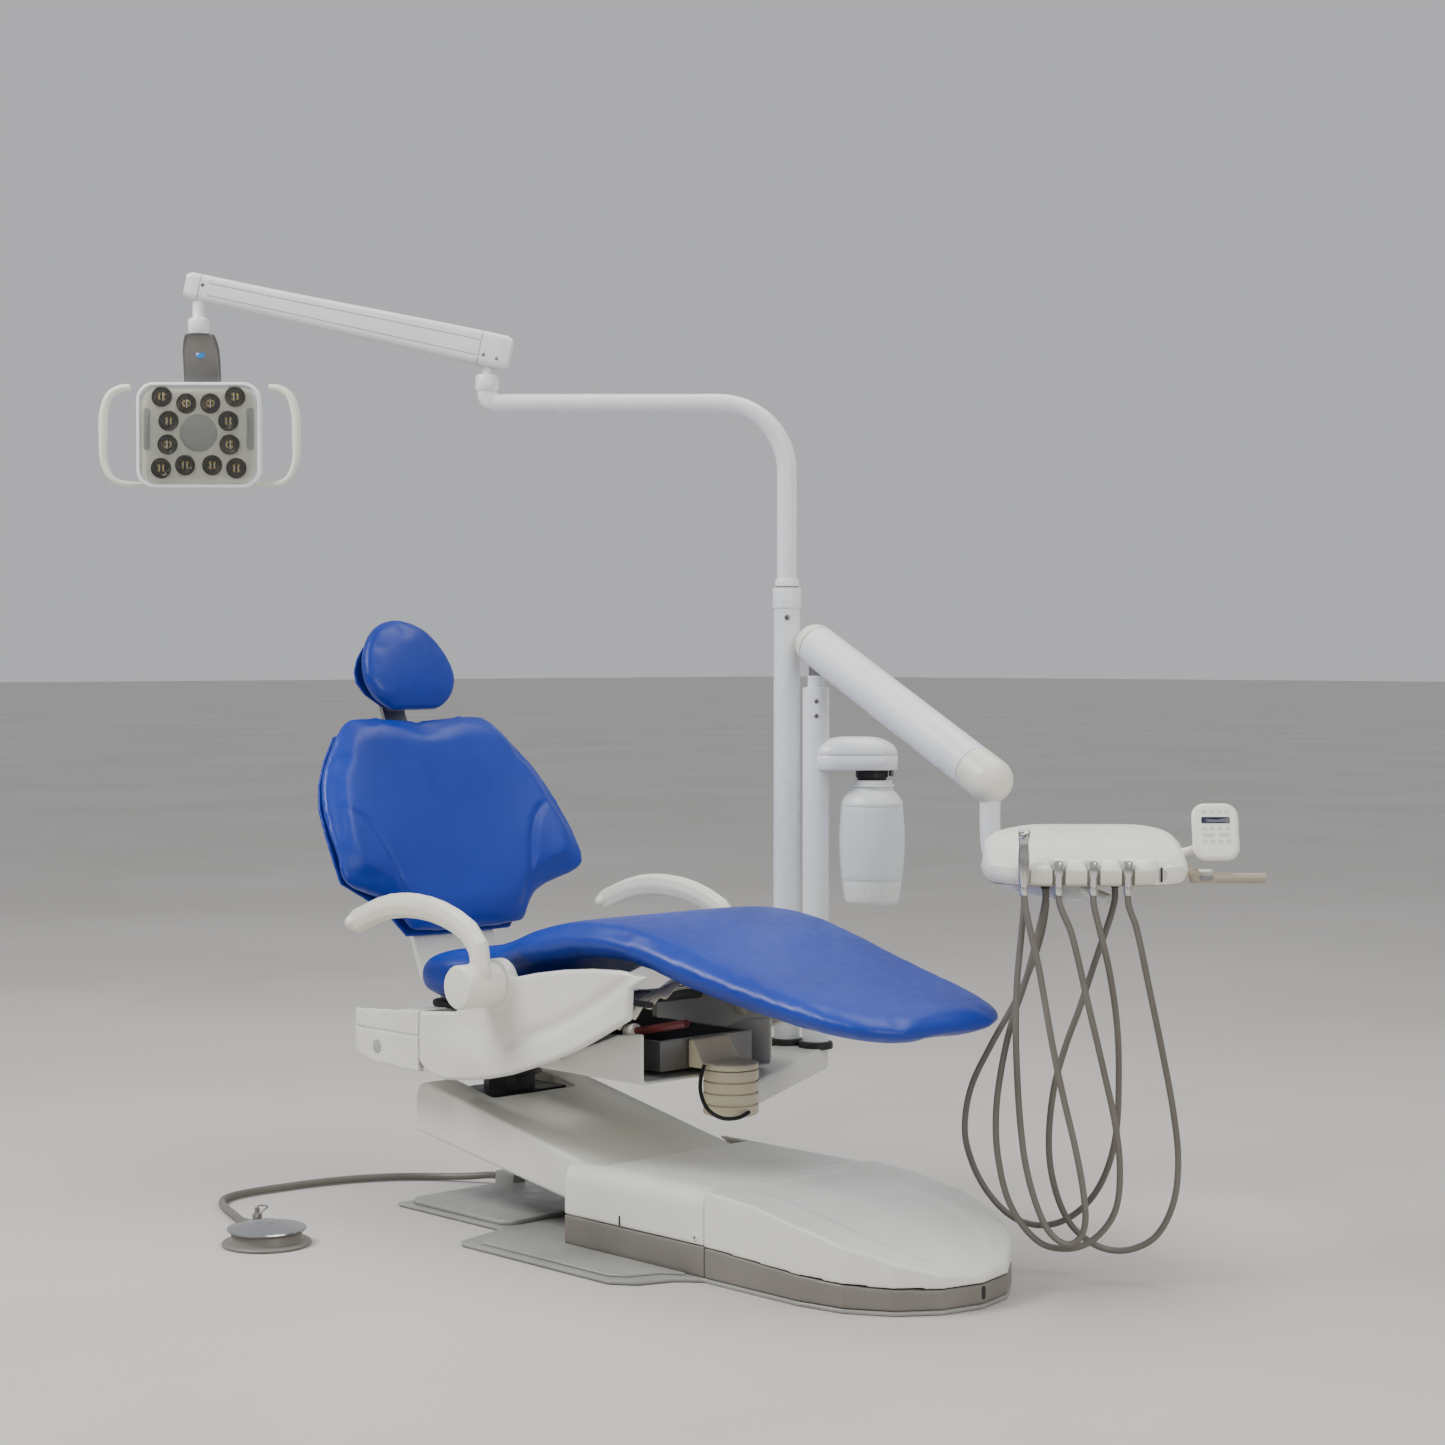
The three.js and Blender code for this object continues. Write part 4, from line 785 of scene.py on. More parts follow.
bearing = [(0, 245.6), (60, 245.6), (62, 247), (62, 257), (57, 259), (56.5, 262), (62, 264),
           (62, 272), (57, 274), (56.5, 277), (62, 279), (62, 288), (60, 290), (48, 290.5),
           (46, 292), (46, 319.4), (0, 319.4)]
add("swivel_ring", lathe(bearing, 80, SWIVEL), "seat", BLACK, WORLD,
    ("swivel_bearing",))


HUB = (-275, 463)  # where the armrests turn, along and up


def side_sculpt(p, n):
    """A bulge round the hub, a hollow ahead of it and a swoosh crease to the front."""
    out = math.copysign(1, p.y)
    if n.y * out < 0.2:
        return (0, 0, 0)
    hub = bump(math.hypot((p.x - HUB[0]) / 105, (p.z - 440) / 95)) * 3.5
    line = 372 + 0.30 * (p.x + 200) + 0.0006 * (p.x + 200) ** 2
    swoosh = 6.5 * math.exp(-((p.z - line) / 15) ** 2) * step((p.x + 300) / 90)
    belly = 7 * bump((p.z - 330) / 55) * bump((p.x + 330) / 190)
    return (0, out * (hub + belly - swoosh), 0)


for side in ("right", "left"):
    refine(f"side_cover_{side}", "seat", CREAM, 2.6, 7, side_sculpt)
for node in ("rear_cover_lower", "rear_cover_upper", "under_cover"):
    refine(node, "seat", CREAM, 3, 6)
refine("arm_bracket", "seat", BEIGE, 2.5, 5)
badge = lathe([(0, -3), (13, -3), (13, 0.6), (11.5, 1.4), (0, 1.4)], 48)
add("round_badge", moved(badge, facing(-640, -252, 312, (0, -1, 0))), "seat", GREY_PAD_AND_GROOVE_SHADE)
add("seat_lobe_skin", extrude(rounded(70, 185, 40, 10, -512, 0), 389, 401), "seat", RUBBER,
    bevel=4)
cable = [(52, -54, 332), (54, -64, 314), (68, -78, 288), (88, -80, 262), (106, -64, 247),
         (116, -34, 245), (117, -8, 252)]
add("bracket_sleeve", tube(cable, 3.5, 20, 4), "seat", RUBBER, WORLD,
    ("bracket_cable",))

# Parts that show in the dark space under the leg rest.
for k, x in enumerate((-70, -30, 10, 50)):
    hoop = tube([(x, -150, 392 + 22 * k), (x + 8, -120, 436 + 16 * k), (x + 14, -40, 452 + 12 * k),
                 (x + 14, 40, 452 + 12 * k), (x + 8, 120, 436 + 16 * k), (x, 150, 392 + 22 * k)],
                13, 16, 10, 0.2)
    add(f"strap_hoop_{k}", hoop, "seat", STRAP)
rod = tube([(-60, -128, 386), (30, -128, 404), (86, -128, 416)], 7, 24, 8)
add("link_rod", rod, "seat", MAROON)
collar = lathe([(0, 0), (13, 0), (14, 2), (14, 20), (12, 24), (0, 24)], 32)
add("link_collar", moved(collar, facing(-66, -128, 385, (1, 0, 0.2))), "seat", IVORY)
bar = tube([(-280, -196, 428), (-120, -200, 446), (20, -200, 452), (70, -198, 452)], 9, 16, 14, 0.6)
add("cavity_rail_right", bar, "seat", DARK)
add("cavity_rail_left", moved(bar, Matrix.Scale(-1, 4, (0, 1, 0))), "seat", DARK)

for side, sign in (("right", -1), ("left", 1)):
    refine(f"armrest_{side}", f"armrest_{side}", IVORY, 2.4, 7)
    cap = lathe([(0, -2), (36, -2), (37.5, 0), (36, 2.5), (31, 3.6), (0, 4.2)], 72)
    add(f"hub_cap_{side}", moved(cap, facing(HUB[0], sign * 344, HUB[1], (0, sign, 0))),
        f"armrest_{side}", CREAM)

# ---------------------------------------------------------------- back

refine("back_support", "back", CREAM, 2.5, 5)
refine("back_shell", "back", VINYL, 2.4, 4)
refine("headrest_bar", "headrest_slide", STEEL, 2, 2)
refine("headrest_shell", "headrest", VINYL, 2.4, 4)

# ---------------------------------------------------------------- posts and radius arm

POST_R = 25.5
post = [(0, 300), (POST_R, 300), (POST_R, 1139), (27.5, 1141), (27.5, 1176), (26.5, 1179.5),
        (0, 1180)]
add("light_post_tube", lathe(post, 64, LIGHT_POST), "post_arm", WHITE, WORLD,
    ("light_post",))
ring = [(0, 1179), (22, 1179), (22, 1181.5), (0, 1181.5)]
add("light_post_gap", lathe(ring, 64, LIGHT_POST), "post_arm", BLACK)
post = [(0, 300), (POST_R, 300), (POST_R, 983), (24, 988), (16, 989), (16, 1008.5), (14.5, 1010),
        (0, 1010)]
add("delivery_post_tube", lathe(post, 64, DELIVERY_POST), "post_arm", WHITE, WORLD,
    ("delivery_post",))


def on_post(post_xy, z):
    """A frame just inside a post's skin at a height, facing the front right."""
    axis = (math.sin(TURN), -math.cos(TURN), 0)
    r = POST_R - 0.3
    return facing(post_xy[0] + axis[0] * r, post_xy[1] + axis[1] * r, z, axis)


screw("light_post_screw", "post_arm", on_post(LIGHT_POST, 1122), 5.5)
screw("delivery_post_screw_1", "post_arm", on_post(DELIVERY_POST, 962), 4.5)
screw("delivery_post_screw_2", "post_arm", on_post(DELIVERY_POST, 934), 4.5)

RING_STACK = (62.5, 0)  # the axis that the posts' arm turns on
ring_profile = [(0, 321.4), (47.8, 321.4)]
for k in range(4):
    top = 321.4 - 20.3 * k
    ring_profile += [(49, top - 0.6), (49, top - 15.8), (48, top - 17.4), (45, top - 17.6)]
    if k < 3:
        ring_profile.append((45, top - 20.2))
ring_profile += [(43, 241.5), (40, 240.2), (0, 240.2)]
add("radius_rings", lathe(ring_profile, 80, RING_STACK), "post_arm", BEIGE)
ends = [Vector((*RING_STACK, 0)), Vector((-162.5, 403, 0))]
way = (ends[1] - ends[0]).normalized()
side = Vector((-way.y, way.x, 0))
outline = []
for end, half_length, half_width, start in ((ends[0], 42, 42, 0.5), (ends[1], 54, 52, 1.5)):
    for k in range(13):
        a = math.pi * (start + k / 12)
        outline.append(end + way * (half_length * math.cos(a)) + side * (half_width * math.sin(a)))
arm = extrude([(p.x, p.y) for p in outline], 254, 298)
add("radius_beam", arm, "post_arm", CREAM, WORLD, ("radius_arm",), bevel=6)
for k, post_xy in enumerate((LIGHT_POST, DELIVERY_POST)):
    foot = [(0, 296), (33, 296), (33, 306), (31, 309), (26, 310), (0, 310)]
    add(f"post_foot_{k}", lathe(foot, 56, post_xy), "post_arm", BLACK)

# ---------------------------------------------------------------- water bottle

dome_rings = []
levels = [(831, 80.5, 45), (832, 81.5, 46), (857, 81.5, 46), (858.5, 79.8, 44.4), (860, 81, 45.6)]
crown = [math.pi / 2 * k / 12 for k in range(1, 13)]
levels += [(860 + 34 * math.sin(a), 24 + 57 * math.cos(a), 8 + 37.5 * math.cos(a)) for a in crown]
for z, half_x, half_y in levels:
    dome_rings.append([(x, y, z) for x, y in
                       rounded(half_x, half_y, half_y - 0.3, 12, 75.5, 0)])
add("bottle_cap_dome", loft(dome_rings), "post_arm", DOME, TRAY_POST,
    ("bottle_dome",), angle=50)
neck = [(0, 811), (28, 811), (28, 815), (31, 816), (31, 828), (29, 831), (0, 831)]
add("bottle_connector", lathe(neck, 56), "post_arm", BLACK, BOTTLE)
for k, (x, y) in enumerate(((36, 10), (38, -6))):
    clip = extrude(rounded(3, 6, 2, 4, x, y), 818, 831)
    add(f"bottle_clip_{k}", clip, "post_arm", STEEL, BOTTLE, bevel=0.8)


def cap_ribs(a, z):
    """Moulded ribs round the bottom cap."""
    if not 582 < z < 610:
        return 1
    return 1 - 0.022 * (math.cos(24 * a) > 0.15) * bump((z - 596) / 15)


base_cap = [(0, 574), (44, 574), (49, 576.5), (51, 580), (52.5, 584), (53.5, 589), (54.5, 594),
            (55.2, 599), (55.8, 604), (56.4, 610), (57, 616), (57.2, 619), (55, 620), (0, 620)]
add("bottle_base_cap", lathe(base_cap, 192, ribs=cap_ribs), "water_bottle", BOTTLE_WHITE,
    BOTTLE)
body_profile = [(0, 619.5), (56.6, 619.5), (58.2, 622)]
body_profile += [(58.2 + 4.6 * math.sin(math.pi * k / 16) + 1.0 * k / 16, 622 + 139 * k / 16)
                 for k in range(1, 17)]
body_profile += [(58, 763), (0, 763)]
add("bottle_body", lathe(body_profile, 96), "water_bottle", BOTTLE_MAT, BOTTLE,
    ("water_bottle",))
shoulder = [(0, 762.5), (59.5, 762.5), (60, 765), (58, 770), (52, 780), (46, 787), (42, 791),
            (40, 795), (39.5, 798), (43, 799), (44, 800.5), (43, 802), (39, 803), (39, 808),
            (37, 811), (0, 811)]
add("bottle_shoulder", lathe(shoulder, 96), "water_bottle", BOTTLE_WHITE, BOTTLE)

# ---------------------------------------------------------------- light tube and beam

reach = Vector((-math.cos(TURN), -math.sin(TURN), 0))
post_at = Vector((LIGHT_POST[0], LIGHT_POST[1], 0))
TUBE_Z, RUN, BEND, ELBOW = 1533, 577, 130, 22
route = [post_at + Vector((0, 0, 1181 + 20 * k)) for k in range(12)]
route.append(post_at + Vector((0, 0, TUBE_Z - BEND)))
for k in range(1, 12):
    a = math.pi / 2 * k / 12
    route.append(post_at + reach * (BEND * (1 - math.cos(a)))
                 + Vector((0, 0, TUBE_Z - BEND + BEND * math.sin(a))))
route += [post_at + reach * (BEND + (RUN - BEND - ELBOW) * k / 10) + Vector((0, 0, TUBE_Z))
          for k in range(11)]
for k in range(1, 7):
    a = math.pi / 2 * k / 6
    route.append(post_at + reach * (RUN - ELBOW + ELBOW * math.sin(a))
                 + Vector((0, 0, TUBE_Z + ELBOW - ELBOW * math.cos(a))))
route.append(post_at + reach * RUN + Vector((0, 0, 1566)))
add("light_tube_bar", tube([tuple(p) for p in route], 19, 40, 12), "light_tube", WHITE,
    WORLD, ("light_tube",))
collar = [(0, 1181.6), (21.5, 1181.6), (23, 1183), (23, 1194), (21, 1196.5), (18, 1197), (0, 1197)]
add("light_tube_collar", lathe(collar, 64, LIGHT_POST), "light_tube", DOME)
top = post_at + reach * RUN
cup = [(0, 1556), (19, 1556), (21, 1558), (22.5, 1562), (22.5, 1586), (21, 1588), (0, 1588)]
add("elbow_cup", lathe(cup, 56, (top.x, top.y)), "light_tube", WHITE)
neck = [(0, 1588.5), (11, 1588.5), (11, 1600), (10, 1602), (10, 1644), (0, 1644)]
add("neck_pin", lathe(neck, 40, (top.x, top.y)), "beam_neck", WHITE, WORLD,
    ("beam_neck",))

RISE = math.radians(12.3)
# Along the beam from its pivot, across it, and up at right angles to it.
BEAM = Matrix((
    (reach.x * math.cos(RISE), -reach.y, -reach.x * math.sin(RISE), top.x * MM),
    (reach.y * math.cos(RISE), reach.x, -reach.y * math.sin(RISE), top.y * MM),
    (math.sin(RISE), 0, math.cos(RISE), 1.636),
    (0, 0, 0, 1),
))


def beam_section(s):
    """Half width, middle height and half height of the beam at a place along it."""
    t = step((s + 48) / 600)
    low, high = -31 + 5 * t, 34 - 9 * t
    return 25 - 5 * t, (low + high) / 2, (high - low) / 2


def beam_shell(start, stop):
    """The beam's housing, tucked in a little at its two ends."""
    sections = 60
    rings = []
    for k in range(sections + 1):
        s = start + (stop - start) * k / sections
        end = min(s - start, stop - s)
        tuck = 1 - 0.16 * (1 - min(1, end / 9)) ** 2
        half, middle, tall = beam_section(s)
        rings.append([(s, y, middle + z) for y, z in
                      rounded(half * tuck, tall * tuck, 11 * tuck, 7)])
    return loft(rings)


add("beam_body", beam_shell(-46, 590), "light_beam", WHITE, BEAM, ("light_beam",),
    angle=50)
# Thin grey lines along the beam's sides: painted shade in its grooves.
for sign in (-1, 1):
    for k, share in enumerate((0.42, -0.5)):
        line = []
        for i in range(21):
            s = 14 + 530 * i / 20
            half, middle, tall = beam_section(s)
            line.append((s, sign * (half - 0.2), middle + share * tall))
        add(f"beam_groove_shade_{sign + 1}_{k}", tube(line, 0.9, 8, 20), "light_beam", GREY_PAD_AND_GROOVE_SHADE,
            BEAM)
    for k, (s, up) in enumerate(((-24, -14), (2, -12), (556, 4))):
        spot = Matrix.Translation((s, sign * (beam_section(s)[0] - 0.4), up)) \
            @ Matrix.Rotation(math.radians(-90 * sign), 4, "X")
        screw_head = lathe([(0, -1), (3.6, -1), (3.6, 0.8), (2.6, 1.4), (0, 1.4)], 20)
        add(f"beam_screw_{sign + 1}_{k}", moved(screw_head, spot), "light_beam", STEEL, BEAM)
# Grey bands round the beam's end seams: painted shade in the seam gaps.
for name, s in (("beam_seam_shade_near", 12), ("beam_seam_shade_far", 562)):
    half, middle, tall = beam_section(s)
    band = [[(s + d, y, middle + z) for y, z in rounded(half + 0.35, tall + 0.35, 11, 7)]
            for d in (-0.8, 0.8)]
    add(name, loft(band), "light_beam", GREY_PAD_AND_GROOVE_SHADE, BEAM)

stem = [(0, 1667.2), (19.5, 1667.2), (21, 1669), (21, 1693), (19, 1696), (14, 1697.5), (12.5, 1700),
        (12.5, 1757), (0, 1757)]
add("drop_stem", lathe(stem, 48, LIGHT_DROP), "light_drop", DOME, WORLD,
    ("light_drop",))

# ---------------------------------------------------------------- light head

yoke_rings = []
for z, y0, y1, half in ((194.3, -6, 12, 27), (190, -5, 16, 30), (180, 0, 21.5, 33),
                        (165, 8, 27, 35.5), (145, 17, 31.5, 36), (118, 24, 35, 36),
                        (95, 27, 36, 35), (80, 27, 36, 32), (69, 27.5, 36, 26)):
    thick = (y1 - y0) / 2
    yoke_rings.append([(x, (y0 + y1) / 2 + y, z) for x, y in rounded(half, thick, thick - 0.4, 7)])
add("yoke_plate", loft(yoke_rings), "light_yoke", YOKE, LIGHT, ("light_yoke",), angle=55)
sensor = lathe([(0, -2), (9, -2), (9, 0.8), (7.5, 1.6), (0, 2)], 36)
add("yoke_sensor", moved(sensor, facing(0, 11.5, 158, (0, -1, 0.35))), "light_yoke", SENSOR,
    LIGHT)


def panel(half_x, half_z, corner, y0, y1, cx=0, cz=0):
    """A round-cornered plate standing across the light's face."""
    outline = rounded(half_x, half_z, corner, 10, cx, cz)
    return loft([[(x, y, z) for x, z in outline] for y in (y0, y1)])


shell = []
for y, grow in ((22, -16), (20, -8), (15, -3), (6, 0), (-12, 0), (-15, -1.5), (-16, -4)):
    shell.append([(x, y, z) for x, z in rounded(119.5 + grow, 101.5 + grow, 34 + grow * 0.4, 12)])
for y, grow in ((-15, -6.5), (-9, -8)):
    shell.append([(x, y, z) for x, z in rounded(119.5 + grow, 101.5 + grow, 29, 12)])
add("light_shell", loft(shell), "light_head", DOME, LIGHT, ("light_housing",),
    angle=50)
add("light_inner_plate", panel(108, 91, 26, -10.5, -8.5), "light_head", IVORY, LIGHT)
for k in range(27):
    x = -98 + 196 * k / 26
    rib = panel(1.1, 84, 1, -11.4, -10, x, 0)
    add(f"light_rib_{k:02d}", rib, "light_head", IVORY, LIGHT)
REFLECTORS = [(-70, 73), (-23, 60), (23, 60), (70, 73), (-57, 27), (57, 27), (-59, -18),
              (59, -18), (-72, -63), (-26, -57), (26, -57), (72, -63)]
for k, (x, z) in enumerate(REFLECTORS):
    place = facing(x, -9, z, (0, -1, 0))
    rim = [(0, -3), (18.6, -3), (19.4, 4.2), (18.8, 5.6), (17.6, 5.8), (16.6, 4.8), (13, 3.4),
           (8, 2.4), (0, 2.1)]
    add(f"reflector_{k:02d}", moved(lathe(rim, 40), place), "light_head", REFLECTOR,
        LIGHT)
    for i in range(4):
        a = math.pi / 4 + math.pi / 2 * i
        led = lathe([(0, 0), (2.3, 0), (2.3, 3.6), (1.6, 4.2), (0, 4.2)], 12,
                    (6.2 * math.cos(a), 6.2 * math.sin(a)))
        add(f"led_{k:02d}_{i}", moved(led, place), "light_head", LED, LIGHT)
dome = [(0, -1), (36, -1), (36, 0.6), (34, 2.2), (28, 3.8), (18, 5), (8, 5.6), (0, 5.8)]
add("light_centre_dome", moved(lathe(dome, 72), facing(0, -10, 4, (0, -1, 0))), "light_head",
    GREY_PAD_AND_GROOVE_SHADE, LIGHT)
for sign in (-1, 1):
    add(f"light_side_pad_{sign + 1}", panel(6, 40, 5, -13.5, -9, sign * 99, 12), "light_head",
        GREY_PAD_AND_GROOVE_SHADE, LIGHT, bevel=1.5)
glass = panel(109, 91.5, 25, -18.2, -17.2)
add("light_cover", glass, "light_head", COVER_GLASS, LIGHT, ("light_lens",),
    bevel=0.5)
arch = [(50, 36, -84), (104, 36, -90), (142, 14, -92), (168, 2, -84), (184, 0, -52), (186, 0, 0),
        (184, 0, 46), (172, 0, 78), (150, 0, 91), (134, 0, 92)]
handle_line = [(-x, y, z) for x, y, z in reversed(arch)] + [(0, 36, -83)] + arch


def grip_swell(t):
    """The handles are thickest half way along each arch."""
    return 0.82 + 0.22 * math.sin(math.pi * min(t, 1 - t) * 4)


add("light_grips", tube(handle_line, 10, 28, 6, 0.82, grip_swell), "light_head", IVORY,
    LIGHT, ("light_handles",))

# ---------------------------------------------------------------- flex arm

START = Vector((*DELIVERY_POST, 1069))
END = Vector((402, 300, 832))
WAY = (END - START).normalized()
SPAN = (END - START).length
ACROSS = WAY.cross(Vector((0, 0, 1))).normalized()
UP = ACROSS.cross(WAY)
ARM = Matrix((
    (WAY.x, ACROSS.x, UP.x, START.x * MM),
    (WAY.y, ACROSS.y, UP.y, START.y * MM),
    (WAY.z, ACROSS.z, UP.z, START.z * MM),
    (0, 0, 0, 1),
))
ARM_R = 40
ALONG_X = Matrix.Rotation(math.pi / 2, 4, "Y")


def capsule(start, stop, radius, round_start, round_stop):
    """A round bar along X whose ends are half spheres where asked."""
    arc = [math.pi / 2 * k / 10 for k in range(11)]
    if round_start:
        profile = [(radius * math.sin(a), start - radius * math.cos(a)) for a in arc]
    else:
        profile = [(0, start), (radius - 1.2, start), (radius, start + 1.2)]
    if round_stop:
        profile += [(radius * math.cos(a), stop + radius * math.sin(a)) for a in arc]
        profile[-1] = (0, stop + radius)
    else:
        profile += [(radius, stop - 1.2), (radius - 1.2, stop), (0, stop)]
    return moved(lathe(profile, 56), ALONG_X)


add("flex_barrel", capsule(6, SPAN - 48, ARM_R, False, False), "flex_arm", WHITE, ARM,
    ("flex_arm",))
add("flex_cap_top", capsule(0, 5, ARM_R - 0.3, True, False), "flex_arm", IVORY, ARM)
add("flex_cap_end", capsule(SPAN - 47, SPAN, ARM_R + 0.6, False, True), "flex_arm", IVORY,
    ARM)
for name, s in (("flex_seam_top", 5.5), ("flex_seam_end", SPAN - 47.5)):
    band = lathe([(0, s - 0.8), (ARM_R - 1, s - 0.8), (ARM_R - 1, s + 0.8), (0, s + 0.8)], 56)
    add(name, moved(band, ALONG_X), "flex_arm", DARK, ARM)
knuckle = [(0, 1010.6), (14, 1010.6), (14, 1050), (13, 1064), (9, 1072), (0, 1074)]
add("flex_knuckle_pin", lathe(knuckle, 40, DELIVERY_POST), "flex_knuckle", STEEL, WORLD,
    ("flex_knuckle",))
NECK_X, NECK_Y = -143, 150.6
neck_line = [(NECK_X, NECK_Y, 800), (NECK_X, NECK_Y, 745), (NECK_X + 4, NECK_Y - 3, 705),
             (NECK_X + 30, NECK_Y - 27, 664), (NECK_X + 80, NECK_Y - 80, 650), (-25, 0, 649)]
add("flex_neck_tube", tube(neck_line, 17, 36, 5, 1.0, lambda t: 1.08 - 0.16 * t), "flex_neck",
    WHITE, HEAD, ("flex_neck",))
neck_cup = [(0, 636.4), (24, 636.4), (27, 639), (27, 661), (25, 663.6), (16, 664), (16, 675), (0, 675.4)]
add("flex_neck_cup", lathe(neck_cup, 48, (-25, 0)), "flex_neck", DOME, HEAD)

# ---------------------------------------------------------------- control head

HOLDERS = (-114, -57, 0, 57, 114)
HEAD_POWER = 0.62


HEAD_HALF_X, HEAD_HALF_Y = 172, 125


def head_outline(grow):
    """The head seen from above, larger or smaller by a margin."""
    return superellipse(HEAD_HALF_X + grow, HEAD_HALF_Y + grow, HEAD_POWER, 160)


def head_top(x, y):
    """Height of the head's lid: higher at the back and falling towards its two ends."""
    slope = 712 + 46 * step((y + HEAD_HALF_Y) / 230)
    fall = 10 * step((-x - 60) / 110) + 5 * step((x - 90) / 80)
    return slope - fall


def head_mesh():
    """The shell: a grid lid over the outline, with wells pressed in, and sides."""
    rings = []
    for scale in [0.02, 0.2, 0.4, 0.6] + [0.68 + 0.02 * k for k in range(15)]:
        ring = []
        for x, y in head_outline(0):
            x, y = x * scale, y * scale
            roll = 10 * step((scale - 0.86) / 0.12) ** 2
            z = head_top(x, y) - roll
            for hx in HOLDERS:
                d = math.hypot(x - hx, (y - HOSE_Y + 2) * 0.95)
                z -= 14 * bump(d / 24)
            ring.append((x, y, z))
        rings.append(ring)
    sides = [(0.985, 700), (0.992, 692), (0.985, 684), (0.96, 676), (0.93, 671), (0.6, 670),
             (0.02, 670)]
    for scale, z in sides:
        rings.append([(x * scale, y * scale, z) for x, y in head_outline(0)])
    return loft(rings)


head = add("head_shell", head_mesh(), "control_head", WARM, HEAD,
           ("control_head",), angle=60)


def cut_with(made, *shapes):
    """Cuts closed shapes, in metres in the world, out of a piece."""
    for points, faces in shapes:
        tool = solid("cutter", points, faces)
        skin = made.data.materials[0]
        cut = made.modifiers.new("cut", "BOOLEAN")
        cut.operation = "DIFFERENCE"
        cut.solver = "EXACT"
        cut.object = tool
        bake(made)
        made.data.materials.clear()
        made.data.materials.append(skin)
        bpy.data.objects.remove(tool)


wells = []
for x in HOLDERS:
    bore = lathe([(0, 640), (13, 640), (13, 701), (17, 708), (22, 730), (0, 730)], 32, (x, HOSE_Y))
    channel = extrude([(x - 8.5, -150), (x + 8.5, -150), (x + 8.5, HOSE_Y), (x - 8.5, HOSE_Y)],
                      640, 740)
    wells += [placed(bore, HEAD), placed(channel, HEAD)]
cut_with(head, *wells)
shade(head.data, 38)
for k in range(4):
    x = (HOLDERS[k] + HOLDERS[k + 1]) / 2
    rows = []
    for z, push in ((672, -3), (675, 0.6), (680, 1.6), (694, 1.8), (697, 1.0), (698, -3)):
        row = []
        for i in range(13):
            px = x - 17.5 + 35 * i / 12
            py = -HEAD_HALF_Y * (1 - abs(px / HEAD_HALF_X) ** (2 / HEAD_POWER)) ** (HEAD_POWER / 2)
            row.append((px, py * 0.99 - push, z))
        rows.append(row + [(p[0], p[1] + 6, p[2]) for p in reversed(row)])
    add(f"holder_pad_{k}", loft(rows), "control_head", LID_PAD,
        HEAD, bevel=0.8)
tray = [[(x, y, z) for x, y in head_outline(grow)]
        for z, grow in ((668.5, -16), (669, -12), (672, -10), (673, -12))]
add("head_under_tray", loft(tray), "control_head", PAD, HEAD)
BARBS = ((-111, -92), (-73, -68), (-66, -20), (46, -46))
for k, (x, y) in enumerate(BARBS):
    barb = [(0, 661.8), (7, 661.8), (7.4, 664), (6.6, 667), (7.6, 670), (7.6, 676), (0, 676)]
    add(f"hose_barb_{k + 1}", lathe(barb, 28, (x, y)), "control_head", BLACK,
        HEAD)

# The syringe in the first holder and the connectors in the next three.
grip_profile = [(0, 668), (6.6, 668), (7, 671), (8.6, 680), (9.8, 700), (9.6, 720), (8.2, 736),
                (8.6, 744), (9.4, 747), (9.4, 750), (0, 750)]
add("syringe_body", lathe(grip_profile, 48, (HOLDERS[0], HOSE_Y)), "control_head", SHINE,
    HEAD, ("syringe",))
head_block = extrude(rounded(9.5, 11, 6, 8, HOLDERS[0], HOSE_Y - 1), 748, 762)
add("syringe_head", head_block, "control_head", SHINE, HEAD, bevel=2.5)
nozzle = moved(lathe([(0, -1), (5.4, -1), (5.6, 2), (4.2, 3.4), (3.2, 6.5), (2.4, 7), (2.2, 5),
                      (0, 5)], 28), facing(HOLDERS[0], HOSE_Y - 11, 753, (0, -1, 0.12)))
add("syringe_nozzle", nozzle, "control_head", SHINE, HEAD)
eye = moved(lathe([(0, -1), (1.6, -1), (1.6, 6.2), (0, 6.2)], 16),
            facing(HOLDERS[0], HOSE_Y - 11.5, 753, (0, -1, 0.12)))
add("syringe_port", eye, "control_head", BLACK, HEAD)
for dx in (-4.6, 4.6):
    key = moved(lathe([(0, 0), (3, 0), (3, 3), (2.2, 4), (0, 4)], 20),
                facing(HOLDERS[0] + dx, HOSE_Y + 2, 761.5, (0, 0, 1)))
    add(f"syringe_key_{dx > 0:d}", key, "control_head", DOME, HEAD)
stem_profile = [(0, 668), (6.2, 668), (6.8, 672), (7.4, 684), (9, 688), (9.6, 692), (9.6, 706),
                (9.0, 709), (7.2, 709.6), (6.8, 707.5), (0, 707)]
face_profile = [(0, 706), (6.4, 706), (6.4, 708.6), (0, 708.6)]
for k in (2, 3, 4):
    x = HOLDERS[k - 1]
    add(f"connector_body_{k}", lathe(stem_profile, 44, (x, HOSE_Y)), "control_head", SHINE,
        HEAD, (f"connector_{k}",))
    add(f"connector_face_{k}", lathe(face_profile, 32, (x, HOSE_Y)), "control_head", BLACK,
        HEAD)
    for i in range(4):
        a = math.pi / 4 + i * math.pi / 2
        pin = lathe([(0, 708), (1.1, 708), (1.1, 711), (0, 711.4)], 12,
                    (x + 3.1 * math.cos(a), HOSE_Y + 3.1 * math.sin(a)))
        add(f"connector_pin_{k}_{i}", pin, "control_head", LED, HEAD)
for number, x in zip((1, 2, 3, 4), HOLDERS):
    nut = [(0, 655), (6.4, 655), (7.2, 657), (7.2, 668.5), (0, 668.5)]
    add(f"hose_nut_{number}", lathe(nut, 32, (x, HOSE_Y)), "control_head", SHINE, HEAD)
slit = extrude(rounded(1.6, 3, 1.5, 6, HOLDERS[4], HOSE_Y + 9), 676, 700)
add("empty_holder_slit", slit, "control_head", BLACK, HEAD)

for number, (made, spot, length) in hose_lines.items():
    end = f"connector_body_{number}" if number > 1 else "syringe_body"

